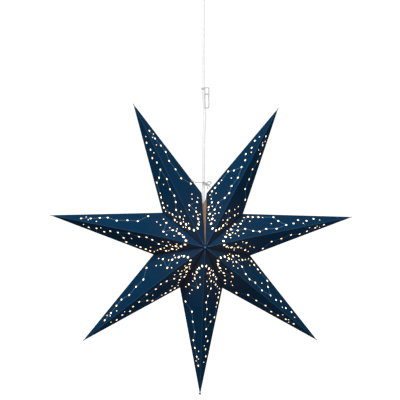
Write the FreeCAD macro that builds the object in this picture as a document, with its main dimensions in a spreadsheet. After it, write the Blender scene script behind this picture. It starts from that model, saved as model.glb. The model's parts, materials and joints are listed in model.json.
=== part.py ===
import FreeCAD, Part
import math
import os
import re
import Sketcher

# A folding seven-pointed star lamp of card, hanging on its cable from a ceiling cup.
# Millimetres, +Z up. The origin is the centre of the ceiling face. The star's front faces -Y.

SIZES = {
    # the star
    "star_radius": 300,       # hub axis to an arm's tip
    "notch_radius": 97.4,     # hub axis to the notch between two arms
    "half_depth": 75,         # hub centre to the front centre point
    "gap_angle": 6,           # the slit that the two end arms leave at the top
    "hang_turn": 1.2,         # the opened star hangs turned this far to the right
    "hub_shift": 2,           # and its hub lies this far left of the cable
    "card": 0.5,              # card thickness
    "seam_gap": 0.15,         # half the gap between two arms' glued seams
    "centre_hole": 6,         # the panels stop this far from the hub axis
    "seal_front": 3,          # radius of the glued centre where the creases meet
    "seal_depth": 5.3,
    "flap_width": 8,          # the end flap along each side of the slit
    "tab_radius": 17,         # the neck tabs that rest on the lampholder
    "tab_inset": 5.4,         # the neck tabs stop this far from the cable's axis
    "tie_width": 1.6,
    "knot_width": 4.4,
    "loop_width": 7,
    # where it hangs
    "star_drop": 550,         # ceiling face to the hub axis
    "cable_width": 5.5,       # cable diameter
    "slip": 0.3,              # radial clearance round the cable and between turned fits
    # ceiling end
    "cup_width": 80,
    "cup_depth": 50,
    "cup_wall": 1.5,
    "cup_bevel": 8,
    "strap_length": 70,
    "strap_width": 18,
    "strap_thick": 2,
    "strap_tab": 14,
    "ceiling_screw_pitch": 50,
    "ceiling_screw_hole": 4.5,
    "side_screw": 3,
    "side_screw_head": 6,
    "side_screw_length": 8,
    "block_length": 26,
    "block_width": 14,
    "block_depth": 12,
    "wire_pitch": 8,
    "wire_hole": 3.4,
    "wire_width": 2,
    "gland_width": 18,
    "gland_drop": 12,         # the gland's swivel housing below the cup
    "gland_neck": 12,         # the neck's diameter through the cup's floor
    "gland_neck_length": 8,
    "ring_width": 12,         # the swivel ring in the gland
    "ring_thick": 2.4,
    "ring_height": 7,         # the ring's middle above the gland's mouth
    "clamp_width": 11,
    "clamp_height": 6,
    "tail_length": 26,        # the cable's fixed tail above the swivel
    # cord clip
    "clip_width": 9.6,
    "clip_height": 40.6,
    "clip_thick": 3,
    "clip_rim": 2.1,
    "clip_window": 10.5,
    "clip_above": 260,        # hub axis to the clip's lower end
    # lampholder, measured down from its top
    "holder_above": 72,       # hub axis to the top of the lampholder
    "holder_width": 28,
    "holder_wall": 1.6,
    "holder_length": 48,
    "cap_height": 14,
    "cap_top": 16,
    "grip_width": 10,
    "grip_height": 6,
    "insert_thick": 8,
    "shell_length": 16,
    "shell_wall": 0.4,
    # bulb
    "base_width": 13.4,
    "base_length": 18,
    "globe_width": 45,
    "globe_neck": 17,
    "glass": 0.9,
    "bulb_length": 78,
    "tip_width": 5,
    "tip_height": 2,
}

# The arms in order, clockwise from the slit at the top as seen from the front.
ARMS = ("arm_upper_right", "arm_right", "arm_lower_right", "arm_bottom",
        "arm_lower_left", "arm_left", "arm_upper_left")

# Height of the socket insert's underside above the hub axis.
SOCKET = "(holder_above - cap_height - insert_thick - holder_wall)"

# The tie string's route from the left end arm's edge to the right one's, from the hub's height.
TIE_ROUTE = ((-20.5, -2.0, 117.0), (-8.0, -6.5, 115.2), (2.0, -7.0, 114.6), (9.0, -5.6, 112.6),
             (12.4, -3.2, 108.4))
TIE_KNOT = 3    # the point of the route where the bow is

doc = FreeCAD.newDocument("folding_star_lamp")
sheet = doc.addObject("Spreadsheet::Sheet", "Sizes")
for row, (alias, value) in enumerate(SIZES.items(), start=1):
    sheet.set(f"A{row}", alias)
    sheet.set(f"B{row}", str(value))
    sheet.setAlias(f"B{row}", alias)
doc.recompute()
nodes = []


def size(alias):
    """A driving dimension, read from the sheet."""
    return float(sheet.get(alias))


def linked(expression):
    """An expression in sheet aliases, written the way FreeCAD reads it."""
    return re.sub(r"[a-z]+(?:_[a-z]+)*", lambda word: "Sizes." + word.group(), expression)


def bind(item, path, expression):
    item.setExpression(path, linked(expression))


def keep(item, label):
    """Marks an object as one of the lamp's sub-parts."""
    item.Label = label
    nodes.append(item)
    return item


def lift(item, height):
    """Places a sub-part at a height above the origin, given in aliases."""
    bind(item, "Placement.Base.z", height)
    return item


# ---------------------------------------------------------------- sketches and features

def new_sketch(body, name, plane):
    sketch = body.newObject("Sketcher::SketchObject", name)
    support = next(f for f in body.Origin.OriginFeatures if f.Role == plane)
    sketch.AttachmentSupport = [(support, "")]
    sketch.MapMode = "FlatFace"
    return sketch


def pin(sketch, geometry, point, across, up):
    """Holds one point of a sketch at two bound coordinates."""
    for kind, expression in (("DistanceX", across), ("DistanceY", up)):
        index = sketch.addConstraint(Sketcher.Constraint(kind, geometry, point, 1.0))
        bind(sketch, f"Constraints[{index}]", expression)


def draw_polygon(sketch, corners):
    """A closed outline of straight edges through corners given in aliases."""
    count = len(corners)
    around = [FreeCAD.Vector(20 * math.cos(2 * math.pi * k / count),
                             20 * math.sin(2 * math.pi * k / count), 0) for k in range(count)]
    edges = [sketch.addGeometry(Part.LineSegment(around[k], around[(k + 1) % count]), False)
             for k in range(count)]
    for k in range(count):
        follower = edges[(k + 1) % count]
        sketch.addConstraint(Sketcher.Constraint("Coincident", edges[k], 2, follower, 1))
        pin(sketch, edges[k], 1, *corners[k])


def draw_circle(sketch, across, up, width):
    circle = sketch.addGeometry(Part.Circle(FreeCAD.Vector(1, 1, 0), FreeCAD.Vector(0, 0, 1), 2), False)
    pin(sketch, circle, 3, across, up)
    index = sketch.addConstraint(Sketcher.Constraint("Diameter", circle, 4.0))
    bind(sketch, f"Constraints[{index}]", width)


def new_body(name):
    return doc.addObject("PartDesign::Body", name)


def turned(name, corners, height):
    """A round piece: an outline of (radius, height) corners turned about Z."""
    body = new_body(name)
    sketch = new_sketch(body, name + "_outline", "XZ_Plane")
    draw_polygon(sketch, corners)
    turn = body.newObject("PartDesign::Revolution", name + "_turn")
    turn.Profile = sketch
    turn.ReferenceAxis = (sketch, ["V_Axis"])
    turn.Angle = 360
    lift(body, height)
    return keep(body, name)


def ring(name, outer, inner, tall, height):
    """A plain ring or tube of two widths."""
    corners = [(f"({inner}) / 2", "0"), (f"({outer}) / 2", "0"),
               (f"({outer}) / 2", tall), (f"({inner}) / 2", tall)]
    return turned(name, corners, height)


def pad(body, name, plane, corners, length):
    """Adds a plate of the given outline, its thickness on both sides of the plane."""
    sketch = new_sketch(body, name + "_outline", plane)
    draw_polygon(sketch, corners)
    feature = body.newObject("PartDesign::Pad", name)
    feature.Profile = sketch
    feature.Midplane = True
    bind(feature, "Length", length)
    return feature


def cut(body, name, sketch):
    """Cuts a sketch right through the body, both ways."""
    doc.recompute()
    before = body.Shape.Volume
    feature = body.newObject("PartDesign::Pocket", name)
    feature.Profile = sketch
    feature.Type = "ThroughAll"
    feature.Midplane = True
    doc.recompute()
    if not body.Shape.Volume < before:
        raise RuntimeError(f"{name} cuts nothing")
    return feature


def drill(body, name, plane, places, width):
    """Round holes through the body, at places given in aliases."""
    sketch = new_sketch(body, name + "_circles", plane)
    for across, up in places:
        draw_circle(sketch, across, up, width)
    return cut(body, name, sketch)


def primitive(kind, name, **sizes):
    item = doc.addObject("Part::" + kind, name)
    for path, expression in sizes.items():
        bind(item, path.replace("_at_", ".Base."), expression)
    return item


def solid_of(name, shape, place=None):
    """A sub-part whose shape is worked out here, placed after its shape is set."""
    item = doc.addObject("Part::Feature", name)
    item.Shape = shape
    item.Placement = place or FreeCAD.Placement()
    return keep(item, name)


# ---------------------------------------------------------------- ceiling end

def make_ceiling_bracket():
    """A strap screwed to the ceiling, its two ends turned down for the side screws."""
    body = new_body("ceiling_bracket")
    half, inner = "strap_length / 2", "(strap_length / 2 - strap_thick)"
    corners = [("-" + half, "-strap_tab"), ("-" + inner, "-strap_tab"), ("-" + inner, "-strap_thick"),
               (inner, "-strap_thick"), (inner, "-strap_tab"), (half, "-strap_tab"),
               (half, "0"), ("-" + half, "0")]
    pad(body, "strap", "XZ_Plane", corners, "strap_width")
    drill(body, "ceiling_screw_holes", "XY_Plane",
          [("-ceiling_screw_pitch / 2", "0"), ("ceiling_screw_pitch / 2", "0")], "ceiling_screw_hole")
    drill(body, "side_screw_holes", "YZ_Plane", [("0", "-strap_tab / 2")], "side_screw")
    keep(body, "ceiling_bracket")


def make_terminal_block():
    """The insulated block under the strap, where the cable's two wires end."""
    body = new_body("terminal_block")
    half = "block_length / 2"
    corners = [("-" + half, "0"), (half, "0"), (half, "block_depth"), ("-" + half, "block_depth")]
    pad(body, "block", "XZ_Plane", corners, "block_width")
    drill(body, "wire_holes", "XY_Plane",
          [("-wire_pitch / 2", "0"), ("wire_pitch / 2", "0")], "wire_hole")
    keep(lift(body, "-strap_thick - block_depth"), "terminal_block")


def make_ceiling_cup():
    """The cup that hides the bracket; open above, with a hole for the gland in its floor."""
    wide, narrow = "cup_width / 2", "(cup_width / 2 - cup_wall)"
    hole = "(gland_neck / 2 + slip)"
    corners = [(hole, "0"), (wide + " - cup_bevel", "0"), (wide, "cup_bevel"), (wide, "cup_depth"),
               (narrow, "cup_depth"), (narrow, "cup_bevel + cup_wall / 2"),
               (wide + " - cup_bevel - cup_wall / 2", "cup_wall"), (hole, "cup_wall")]
    body = turned("ceiling_cup", corners, "-cup_depth")
    drill(body, "cup_side_holes", "YZ_Plane", [("0", "cup_depth - strap_tab / 2")],
          "side_screw + 2 * slip")


def make_cup_screws():
    """The two side screws that hold the cup on the bracket's turned-down ends."""
    sides = []
    for side, turn in (("left", -90), ("right", 90)):
        reach = "cup_width / 2" if side == "right" else "-cup_width / 2"
        shank = primitive("Cylinder", side + "_shank", Radius="side_screw / 2 - slip / 3",
                          Height="side_screw_length")
        head = primitive("Cylinder", side + "_head", Radius="side_screw_head / 2",
                         Height="side_screw_head / 3")
        inward = "-" if side == "right" else "+"
        for item, start in ((shank, reach + inward + "side_screw_length"), (head, reach)):
            item.Placement.Rotation = FreeCAD.Rotation(FreeCAD.Vector(0, 1, 0), turn)
            bind(item, "Placement.Base.x", start)
            bind(item, "Placement.Base.z", "-strap_tab / 2")
        screw = doc.addObject("Part::Fuse", side + "_screw")
        screw.Base = shank
        screw.Tool = head
        sides.append(screw)
    pair = doc.addObject("Part::Compound", "cup_screws")
    pair.Links = sides
    keep(pair, "cup_screws")


def make_gland():
    """The gland in the cup's floor: a swivel housing below, a neck through the floor, and a nut."""
    mouth = "-cup_depth - gland_drop"
    lip, chamber = "(cable_width / 2 + 9 * slip)", "(ring_width / 2 + 2 * slip)"
    bore, neck = "(cable_width / 2 + slip)", "gland_neck / 2"
    top = "gland_drop + gland_neck_length"
    corners = [(lip, "0"), ("gland_width / 2", "0"), ("gland_width / 2", "gland_drop"),
               (neck, "gland_drop"), (neck, top), (bore, top),
               (bore, "gland_drop - cup_wall"), (chamber, "gland_drop - cup_wall"),
               (chamber, "cup_wall"), (lip, "cup_wall")]
    turned("cup_gland", corners, mouth)
    ring("gland_nut", "gland_width", "gland_neck + slip", "gland_neck_length / 2",
         "-cup_depth + cup_wall")
    ring("swivel_ring", "ring_width", "cable_width + 4 * slip", "ring_thick",
         mouth + " + ring_height - ring_thick / 2")


def make_cable_tail():
    """The cable's last stretch in the cup: its clamp, the fixed tail and the two bared wires."""
    start = "-cup_depth - gland_drop + ring_height + ring_thick"
    tail = primitive("Cylinder", "tail", Radius="cable_width / 2", Height="tail_length")
    keep(lift(tail, start), "cable_tail")
    ring("cord_clamp", "clamp_width", "cable_width", "clamp_height",
         "-cup_depth + gland_neck_length")
    top = -size("cup_depth") - size("gland_drop") + size("ring_height") + size("ring_thick")
    top += size("tail_length")
    block = -size("strap_thick") - size("block_depth")
    wires = []
    for side in (-1, 1):
        low = FreeCAD.Vector(side * size("cable_width") / 4, 0, top + size("slip"))
        high = FreeCAD.Vector(side * size("wire_pitch") / 2, 0, block)
        run = high - low
        wires.append(Part.makeCylinder(size("wire_width") / 2, run.Length, low, run))
    solid_of("lead_wires", Part.makeCompound(wires))


# ---------------------------------------------------------------- cable and clip

def make_cable():
    """The cable from the swivel down into the lampholder: one straight run, taut under the lamp."""
    cable = primitive("Cylinder", "cable", Radius="cable_width / 2",
                      Height="star_drop - holder_above - cup_depth - gland_drop + ring_height"
                             " + holder_wall")
    keep(lift(cable, "holder_above - star_drop - holder_wall"), "power_cable")


def make_cord_clip():
    """The clear clip beside the cable: a window, a long slot, and a guide round the cable."""
    body = new_body("cord_clip")
    left = "(cable_width / 2 + slip)"
    right = "(cable_width / 2 + slip + clip_width)"
    bevel = "clip_rim"
    corners = [(left, bevel), (left + " + " + bevel, "0"), (right + " - " + bevel, "0"),
               (right, bevel), (right, "clip_height - " + bevel),
               (right + " - " + bevel, "clip_height"), (left, "clip_height")]
    pad(body, "plate", "XZ_Plane", corners, "clip_thick")
    guide = new_sketch(body, "guide_outline", "XY_Plane")
    draw_circle(guide, "0", "0", "cable_width + 2 * slip + 2 * clip_rim")
    collar = body.newObject("PartDesign::Pad", "guide")
    collar.Profile = guide
    bind(collar, "Length", "clip_height / 5")
    guide.AttachmentOffset = FreeCAD.Placement(FreeCAD.Vector(0, 0, 1), FreeCAD.Rotation())
    bind(guide, "AttachmentOffset.Base.z", "clip_height * 4 / 5")
    windows = new_sketch(body, "windows", "XZ_Plane")
    inner, outer = left + " + clip_rim", right + " - clip_rim"
    high = "clip_height - clip_rim"
    for low, top in ((high + " - clip_window", high), ("clip_rim", high + " - clip_window - clip_rim")):
        draw_polygon(windows, [(inner, low), (outer, low), (outer, top), (inner, top)])
    cut(body, "clip_windows", windows)
    drill(body, "cable_way", "XY_Plane", [("0", "0")], "cable_width + 2 * slip")
    keep(lift(body, "clip_above - star_drop"), "cord_clip")


# ---------------------------------------------------------------- lampholder and bulb

def make_lampholder():
    """Cap and body screwed together, with the insert, screw shell and centre contact inside."""
    top, way = "holder_above - star_drop", "(cable_width / 2 + slip)"
    ring("cord_grip", "grip_width", "cable_width + 2 * slip", "grip_height", top)
    wide, narrow = "holder_width / 2", "(holder_width / 2 - holder_wall)"
    cap = [(way, "cap_height"), ("cap_top / 2", "cap_height"), (wide, "cap_height / 3"), (wide, "0"),
           (narrow, "0"), (narrow, "(cap_height - holder_wall) / 3"),
           ("(cap_top - holder_wall) / 2", "cap_height - holder_wall"),
           (way, "cap_height - holder_wall")]
    turned("holder_cap", cap, top + " - cap_height")
    ring("holder_body", "holder_width", "holder_width - 2 * holder_wall",
         "holder_length - cap_height", top + " - holder_length")
    ring("socket_insert", "holder_width - 2 * holder_wall - slip / 3", "wire_width * 2",
         "insert_thick", SOCKET + " - star_drop")
    ring("screw_shell", "base_width + 2 * slip + 2 * shell_wall", "base_width + 2 * slip",
         "shell_length", SOCKET + " - shell_length - star_drop")
    contact = primitive("Cylinder", "contact", Radius="tip_width / 2", Height="tip_height / 2")
    keep(lift(contact, SOCKET + " - tip_height / 2 - star_drop"), "centre_contact")


def make_bulb():
    """A small round screw bulb: base shell, insulator, tip contact, hollow globe and its stem."""
    tip_top = SOCKET + " - tip_height / 2 - star_drop"
    shoulder = tip_top + " - 2 * tip_height"
    base_end = shoulder + " - base_length + tip_height"
    tip = primitive("Cylinder", "tip", Radius="tip_width / 2", Height="tip_height")
    keep(lift(tip, tip_top + " - tip_height"), "bulb_tip_contact")
    ring("bulb_insulator", "base_width - 4 * glass", "tip_width / 2", "tip_height", shoulder)
    ring("bulb_base", "base_width", "base_width - 2 * glass", "base_length - tip_height", base_end)
    middle = tip_top + " - bulb_length + globe_width / 2"
    layers = []
    for layer, skin in (("outer", "0"), ("inner", "glass")):
        ball = primitive("Sphere", layer + "_ball", Radius="globe_width / 2 - " + skin)
        neck = primitive("Cone", layer + "_neck", Radius1="globe_neck / 2 - " + skin,
                         Radius2="base_width / 2 - 2 * glass - " + skin,
                         Height="bulb_length - base_length - 0.9 * globe_width")
        lift(ball, middle)
        lift(neck, middle + " + globe_width * 0.4")
        both = doc.addObject("Part::Fuse", layer + "_glass")
        both.Base = ball
        both.Tool = neck
        layers.append(both)
    globe = doc.addObject("Part::Cut", "bulb_globe")
    globe.Base, globe.Tool = layers
    keep(globe, "bulb_globe")
    stem = primitive("Cylinder", "stem", Radius="tip_width / 2", Height="bulb_length / 2")
    keep(lift(stem, middle), "bulb_stem")


# ---------------------------------------------------------------- the folding star

def arm_pitch():
    return (360 - size("gap_angle")) / len(ARMS)


def hub_place(clockwise=0.0):
    """The hub's frame, turned clockwise as seen from the front, so that +Z points along an arm."""
    hub = FreeCAD.Vector(-size("hub_shift"), 0, -size("star_drop"))
    return FreeCAD.Placement(hub, FreeCAD.Rotation(FreeCAD.Vector(0, 1, 0), clockwise))


def arm_turn(index):
    """How far an arm points clockwise from straight up when the star is open."""
    return size("hang_turn") + size("gap_angle") / 2 + arm_pitch() * (index + 0.5)


def thick_panel(outer, shrink):
    """A flat panel whose inner face is the outer one shrunk towards the hub, so its edges are mitred."""
    inner = [corner * shrink for corner in outer]
    count = len(outer)
    loops = [outer, inner]
    loops += [[outer[k], outer[(k + 1) % count], inner[(k + 1) % count], inner[k]]
              for k in range(count)]
    panel = Part.Solid(Part.Shell([Part.Face(Part.makePolygon(loop + loop[:1])) for loop in loops]))
    if panel.Volume < 0:
        panel.reverse()
    return panel


def arm_corners():
    """One front panel's outer corners, right of the ridge, and how much its inner face shrinks."""
    tip, notch, depth = size("star_radius"), size("notch_radius"), size("half_depth")
    half, seam, hole = math.radians(arm_pitch() / 2), size("seam_gap"), size("centre_hole")
    across = (1 - notch * math.cos(half) / tip) / (notch * math.sin(half))
    up, out = 1 / tip, 1 / depth    # a panel's plane is across x + out y + up z = 1
    notch_x = notch * math.sin(half) - seam
    seam_x, seam_z = hole * math.sin(half) - seam, hole * math.cos(half)
    corners = [(0, 0, tip), (notch_x, 0, (1 - across * notch_x) / up),
               (seam_x, (1 - across * seam_x - up * seam_z) / out, seam_z),
               (0, (1 - up * hole) / out, hole)]
    shrink = 1 - size("card") * math.sqrt(across ** 2 + up ** 2 + out ** 2)
    return corners, shrink


def arm_solids(start, end):
    """The four panels of an arm, front and back, left and right, between two sizes of it."""
    corners = arm_corners()[0]
    quarters = []
    for side in (-1, 1):
        for front in (-1, 1):
            outer = [FreeCAD.Vector(side * x, front * y, z) * start for x, y, z in corners]
            quarters.append(thick_panel(outer, end / start))
    return quarters


def end_flap(side, turn):
    """The narrow flap along an end arm's slit edges, front and back, in the slit's own plane."""
    notch, depth, card = size("notch_radius"), size("half_depth"), size("card")
    half, seam = math.radians(arm_pitch() / 2), size("seam_gap")
    edge = math.hypot(notch, depth)
    along, inward = (-notch / edge, depth / edge), (-depth / edge, -notch / edge)
    outwards = FreeCAD.Vector(side * math.sin(half), 0, math.cos(half))
    into_arm = FreeCAD.Vector(-side * math.cos(half), 0, math.sin(half))

    def corner(inset, reach):
        """A point at an inset from the slit's edge, some way along it or where it meets the middle."""
        if reach is None:
            reach = (seam - inset * inward[1]) / along[1]
        return (notch + inward[0] * inset + along[0] * reach,
                inward[1] * inset + along[1] * reach)

    far, near = 1.6 * card, size("flap_width")
    outline = [corner(far, None), corner(far, 0.85 * edge), corner(near, 0.85 * edge),
               corner(near, None)]
    strips = []
    for front in (-1, 1):
        points = [outwards * radius + FreeCAD.Vector(0, front * y, 0) + into_arm * seam
                  for radius, y in outline]
        strips.append(Part.Face(Part.makePolygon(points + points[:1])).extrude(into_arm * card))
    room = holder_room().transformed(hub_place(turn).inverse().toMatrix())
    return Part.makeCompound([strip.cut(room) for strip in strips])


def holder_room():
    """The space that the lampholder's top takes up, with a little air round it."""
    air, wide = size("slip"), size("holder_width") / 2
    shoulder = size("cap_height") / 3
    body = Part.makeCylinder(wide + air, size("holder_length") - size("cap_height") + shoulder)
    cone = Part.makeCone(wide + air, size("cap_top") / 2 + air, size("cap_height") - shoulder + air,
                         FreeCAD.Vector(0, 0, size("holder_length") - size("cap_height") + shoulder))
    room = body.fuse(cone)
    room.translate(FreeCAD.Vector(0, 0, size("holder_above") - size("holder_length")
                                  - size("star_drop")))
    return room


def neck_tab(side, turn, shoulder):
    """A card tab round one side of the cord grip, inside its end arm, resting on the cap."""
    card, reach, inset = size("card"), size("tab_radius"), size("tab_inset")
    disc = Part.makeCylinder(reach, card)
    disc = disc.cut(Part.makeCylinder(size("grip_width") / 2 + 3 * size("slip"), card))
    half = Part.makeBox(reach, 2 * reach, card, FreeCAD.Vector(inset if side > 0 else -reach - inset,
                                                               -reach, 0))
    inside = arm_corners()[1] - size("card") / size("half_depth")
    quarters = arm_solids(inside, inside / 10)
    room = quarters[0].multiFuse(quarters[1:]).transformed(hub_place(turn).toMatrix())
    room.translate(-shoulder)
    return disc.common(half).common(room)


def make_star():
    """Seven arms, the two end flaps, the two neck tabs and the two glued centres."""
    for index, name in enumerate(ARMS):
        panels = Part.makeCompound(arm_solids(1, arm_corners()[1]))
        solid_of(name, panels, hub_place(arm_turn(index)))
    for name, index, side in (("left_end_flap", len(ARMS) - 1, 1), ("right_end_flap", 0, -1)):
        turn = arm_turn(index)
        solid_of(name, end_flap(side, turn), hub_place(turn))
    shoulder = FreeCAD.Vector(0, 0, size("holder_above") + 2 * size("card") - size("star_drop"))
    for name, index, side in (("left_neck_tab", len(ARMS) - 1, -1), ("right_neck_tab", 0, 1)):
        tab = neck_tab(side, arm_turn(index), shoulder)
        solid_of(name, tab, FreeCAD.Placement(shoulder, FreeCAD.Rotation()))
    hole = size("centre_hole") - 1.3 * size("slip")
    for name, front in (("front_centre_seal", -1), ("back_centre_seal", 1)):
        outer = FreeCAD.Vector(0, front, 0)
        start = outer * (size("half_depth") + size("slip") - size("seal_depth"))
        plug = Part.makeCone(hole, size("seal_front"), size("seal_depth"), start, outer)
        solid_of(name, plug, hub_place())


# ---------------------------------------------------------------- the tie

def cord_tube(name, points, width):
    """A round cord along straight runs joined by tangent arcs."""
    edges, radii, start = [], [], points[0]
    for before, corner, after in zip(points, points[1:], points[2:]):
        run_in, run_out = corner - before, after - corner
        half_turn = run_in.getAngle(run_out) / 2
        reach = 0.45 * min(run_in.Length, run_out.Length)
        radius = reach / math.tan(half_turn)
        first = corner - run_in.normalize() * reach
        last = corner + run_out.normalize() * reach
        bisector = (run_out - run_in).normalize()
        middle = corner + bisector * (radius / math.cos(half_turn) - radius)
        edges += [Part.LineSegment(start, first), Part.Arc(first, middle, last)]
        radii.append(round(radius, 1))
        start = last
    edges.append(Part.LineSegment(start, points[-1]))
    path = Part.Wire([edge.toShape() for edge in edges])
    section = Part.Wire(Part.makeCircle(width / 2, points[0], points[1] - points[0]))
    tube = path.makePipeShell([section], True, True)
    expected = math.pi * width ** 2 / 4 * path.Length
    if abs(tube.Volume / expected - 1) > 0.01:
        raise RuntimeError(f"{name} has volume {tube.Volume:.1f}, not {expected:.1f}")
    print(name, "length", round(path.Length, 1), "radii", radii)
    return tube


def make_tie():
    """The thin string from the left end arm to the right one, in front of the cable, and its bow."""
    drop = FreeCAD.Vector(0, 0, -size("star_drop"))
    route = [FreeCAD.Vector(*point) + drop for point in TIE_ROUTE]
    solid_of("tie_string", cord_tube("tie_string", route, size("tie_width")))
    forward = size("knot_width") / 2 + size("tie_width") / 2 + size("slip") / 3
    knot_at = route[TIE_KNOT] + FreeCAD.Vector(0, -forward, 0)
    knot = primitive("Sphere", "knot", Radius="knot_width / 2")
    loop = primitive("Torus", "loop", Radius1="loop_width / 2", Radius2="tie_width / 2")
    end = primitive("Cylinder", "end", Radius="tie_width / 2", Height="loop_width")
    loop.Placement = FreeCAD.Placement(knot_at + FreeCAD.Vector(size("loop_width") / 2, 0, 1),
                                       FreeCAD.Rotation(FreeCAD.Vector(1, 0, 0), 90))
    end.Placement = FreeCAD.Placement(knot_at - FreeCAD.Vector(0, 0, size("loop_width")),
                                      FreeCAD.Rotation())
    knot.Placement = FreeCAD.Placement(knot_at, FreeCAD.Rotation())
    bow = doc.addObject("Part::MultiFuse", "bow")
    bow.Shapes = [knot, loop, end]
    keep(bow, "tie_bow")


make_ceiling_bracket()
make_terminal_block()
make_ceiling_cup()
make_cup_screws()
make_gland()
make_cable_tail()
make_cable()
make_cord_clip()
make_lampholder()
make_bulb()
make_star()
make_tie()
doc.recompute()

for item in doc.Objects:
    if "Invalid" in item.State or "Error" in item.State:
        raise RuntimeError(f"{item.Label} failed: {item.State}")
for node in nodes:
    if node.Shape.isNull() or not node.Shape.isValid():
        raise RuntimeError(f"{node.Label} has no valid shape")
os.makedirs("parts", exist_ok=True)
for node in nodes:
    node.Shape.exportStep(f"parts/{node.Label}.step")
print(len(nodes), "sub-parts written")
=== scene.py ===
# %% [markdown]
# A folding seven-pointed star lamp of punched card, on its cable from a ceiling cup.
# The imported model is the fixed frame. Every new piece takes its place from it, in metres, so the first
# step is to load it and to keep its box.

# %% Load the frame
import json
import math
import bmesh
import bpy
from mathutils import Matrix, Vector


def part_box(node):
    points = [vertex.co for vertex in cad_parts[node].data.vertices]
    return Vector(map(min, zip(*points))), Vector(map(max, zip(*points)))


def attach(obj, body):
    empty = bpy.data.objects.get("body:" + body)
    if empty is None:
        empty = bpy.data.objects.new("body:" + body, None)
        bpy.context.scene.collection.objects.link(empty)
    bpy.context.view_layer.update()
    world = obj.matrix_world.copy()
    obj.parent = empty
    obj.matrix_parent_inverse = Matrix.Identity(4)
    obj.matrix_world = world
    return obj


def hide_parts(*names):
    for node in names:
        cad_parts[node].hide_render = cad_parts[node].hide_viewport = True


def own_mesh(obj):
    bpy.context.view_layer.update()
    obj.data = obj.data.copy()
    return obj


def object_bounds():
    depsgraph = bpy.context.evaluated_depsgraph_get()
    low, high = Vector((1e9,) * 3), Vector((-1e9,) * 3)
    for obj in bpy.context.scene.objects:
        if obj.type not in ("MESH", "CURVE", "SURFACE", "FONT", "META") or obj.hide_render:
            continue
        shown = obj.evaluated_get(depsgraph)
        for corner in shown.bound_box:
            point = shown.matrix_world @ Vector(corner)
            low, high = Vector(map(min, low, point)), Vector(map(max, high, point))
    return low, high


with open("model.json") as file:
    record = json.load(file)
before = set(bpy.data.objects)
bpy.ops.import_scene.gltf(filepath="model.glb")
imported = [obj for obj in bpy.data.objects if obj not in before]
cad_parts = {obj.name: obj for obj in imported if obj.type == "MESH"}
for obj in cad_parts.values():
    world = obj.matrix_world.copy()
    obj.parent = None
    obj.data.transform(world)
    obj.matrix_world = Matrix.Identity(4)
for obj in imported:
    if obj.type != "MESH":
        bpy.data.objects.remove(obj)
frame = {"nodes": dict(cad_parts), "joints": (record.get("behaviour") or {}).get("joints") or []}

frame_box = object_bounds()
print("frame box", [round(v, 4) for corner in frame_box for v in corner])

# %% [markdown]
# The star's own sizes are few: how far the tips and the notches lie from the hub's axis, and
# how far the front centre stands out. The hub comes from the hinge that the arms fold about.
# Seven arms share the turn that the slit at the top leaves, so each one's direction follows.

# %% The star's sizes and directions
MM = 0.001
JOINTS = {joint["name"]: joint for joint in frame["joints"]}
HUB = Vector(JOINTS["fold_left"]["pos_m"])
TIP = 300 * MM
NOTCH = 97.4 * MM
DEPTH = 75 * MM
CARD = 0.5 * MM
SLIT = 6.0
HANG = 1.2
PITCH = (360 - SLIT) / 7
SWING = math.radians(1.0)     # the card hangs so that the slit stands this much further clockwise

# name, body that carries it, joint that folds it, and how far its tip hangs out of true, in
# millimetres: across the arm, clockwise, and along it
ARMS = (
    ("upper_right", "upper_right", "fold_upper_right", 0.0, 0.0),
    ("right", "right", "fold_right", 3.0, -0.7),
    ("lower_right", "lower_right", "fold_lower_right", 0.0, 0.0),
    ("bottom", "lamp", "fold_upper_left", -2.0, -0.2),
    ("lower_left", "lower_left", "fold_lower_left", -5.0, 0.0),
    ("left", "left", "fold_left", -8.0, -2.2),
    ("upper_left", "upper_left", "fold_upper_left", 4.5, 0.0),
)
RIGHT_OF_SLIT, BOTTOM, LEFT_OF_SLIT = 0, 3, 6     # three arms' numbers, counted clockwise


def arm_turn(number):
    """How far an arm is turned from straight up, clockwise from the front, in radians."""
    return math.radians(HANG + SLIT / 2 + PITCH * (number + 0.5))


half_pitch = math.radians(PITCH / 2)
SIDE = NOTCH * math.sin(half_pitch)     # a notch's distance from the arm's middle
RISE = NOTCH * math.cos(half_pitch)     # and its height above the hub, arm upright
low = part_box("arm_bottom")[0].z
print("tip by the frame", round((HUB.z - low) / MM, 1), "notch", round(SIDE / MM, 1), round(RISE / MM, 1))

# %% [markdown]
# The camera stands about two metres off, a little to the left and a little above the star's
# middle, with a long lens so that the arms keep their shape. It comes first, with the cable,
# because the cable's upper end must lie just outside its view.

# %% Camera
AIM = HUB + Vector((-4.3, 0, 83.5)) * MM
AROUND, ABOVE = math.radians(-4.2), math.radians(4.2)
AWAY = 2.0     # metres
LENS = 93      # millimetres

camera_data = bpy.data.cameras.new("camera")
camera_data.lens = LENS
camera_data.sensor_width = 36
camera_data.clip_start, camera_data.clip_end = 0.05, 60
camera = bpy.data.objects.new("camera", camera_data)
bpy.context.scene.collection.objects.link(camera)
back = Vector((math.sin(AROUND) * math.cos(ABOVE), -math.cos(AROUND) * math.cos(ABOVE), math.sin(ABOVE)))
camera.location = AIM + back * AWAY
camera.rotation_euler = (-back).to_track_quat("-Z", "Y").to_euler()
bpy.context.scene.camera = camera
print("camera at", [round(v, 3) for v in camera.location])

# %% [markdown]
# Most pieces are made as by hand: a primitive is shaped in edit mode, then finished with
# modifiers. Operators act on whatever is selected, so each helper first lets go of everything.

# %% Helpers for selecting
def let_go():
    """Leaves edit mode and deselects everything."""
    if bpy.context.object and bpy.context.object.mode != "OBJECT":
        bpy.ops.object.mode_set(mode="OBJECT")
    bpy.ops.object.select_all(action="DESELECT")


def hold(piece):
    """Selects one piece alone and makes it active."""
    let_go()
    piece.select_set(True)
    bpy.context.view_layer.objects.active = piece
    return piece


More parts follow.
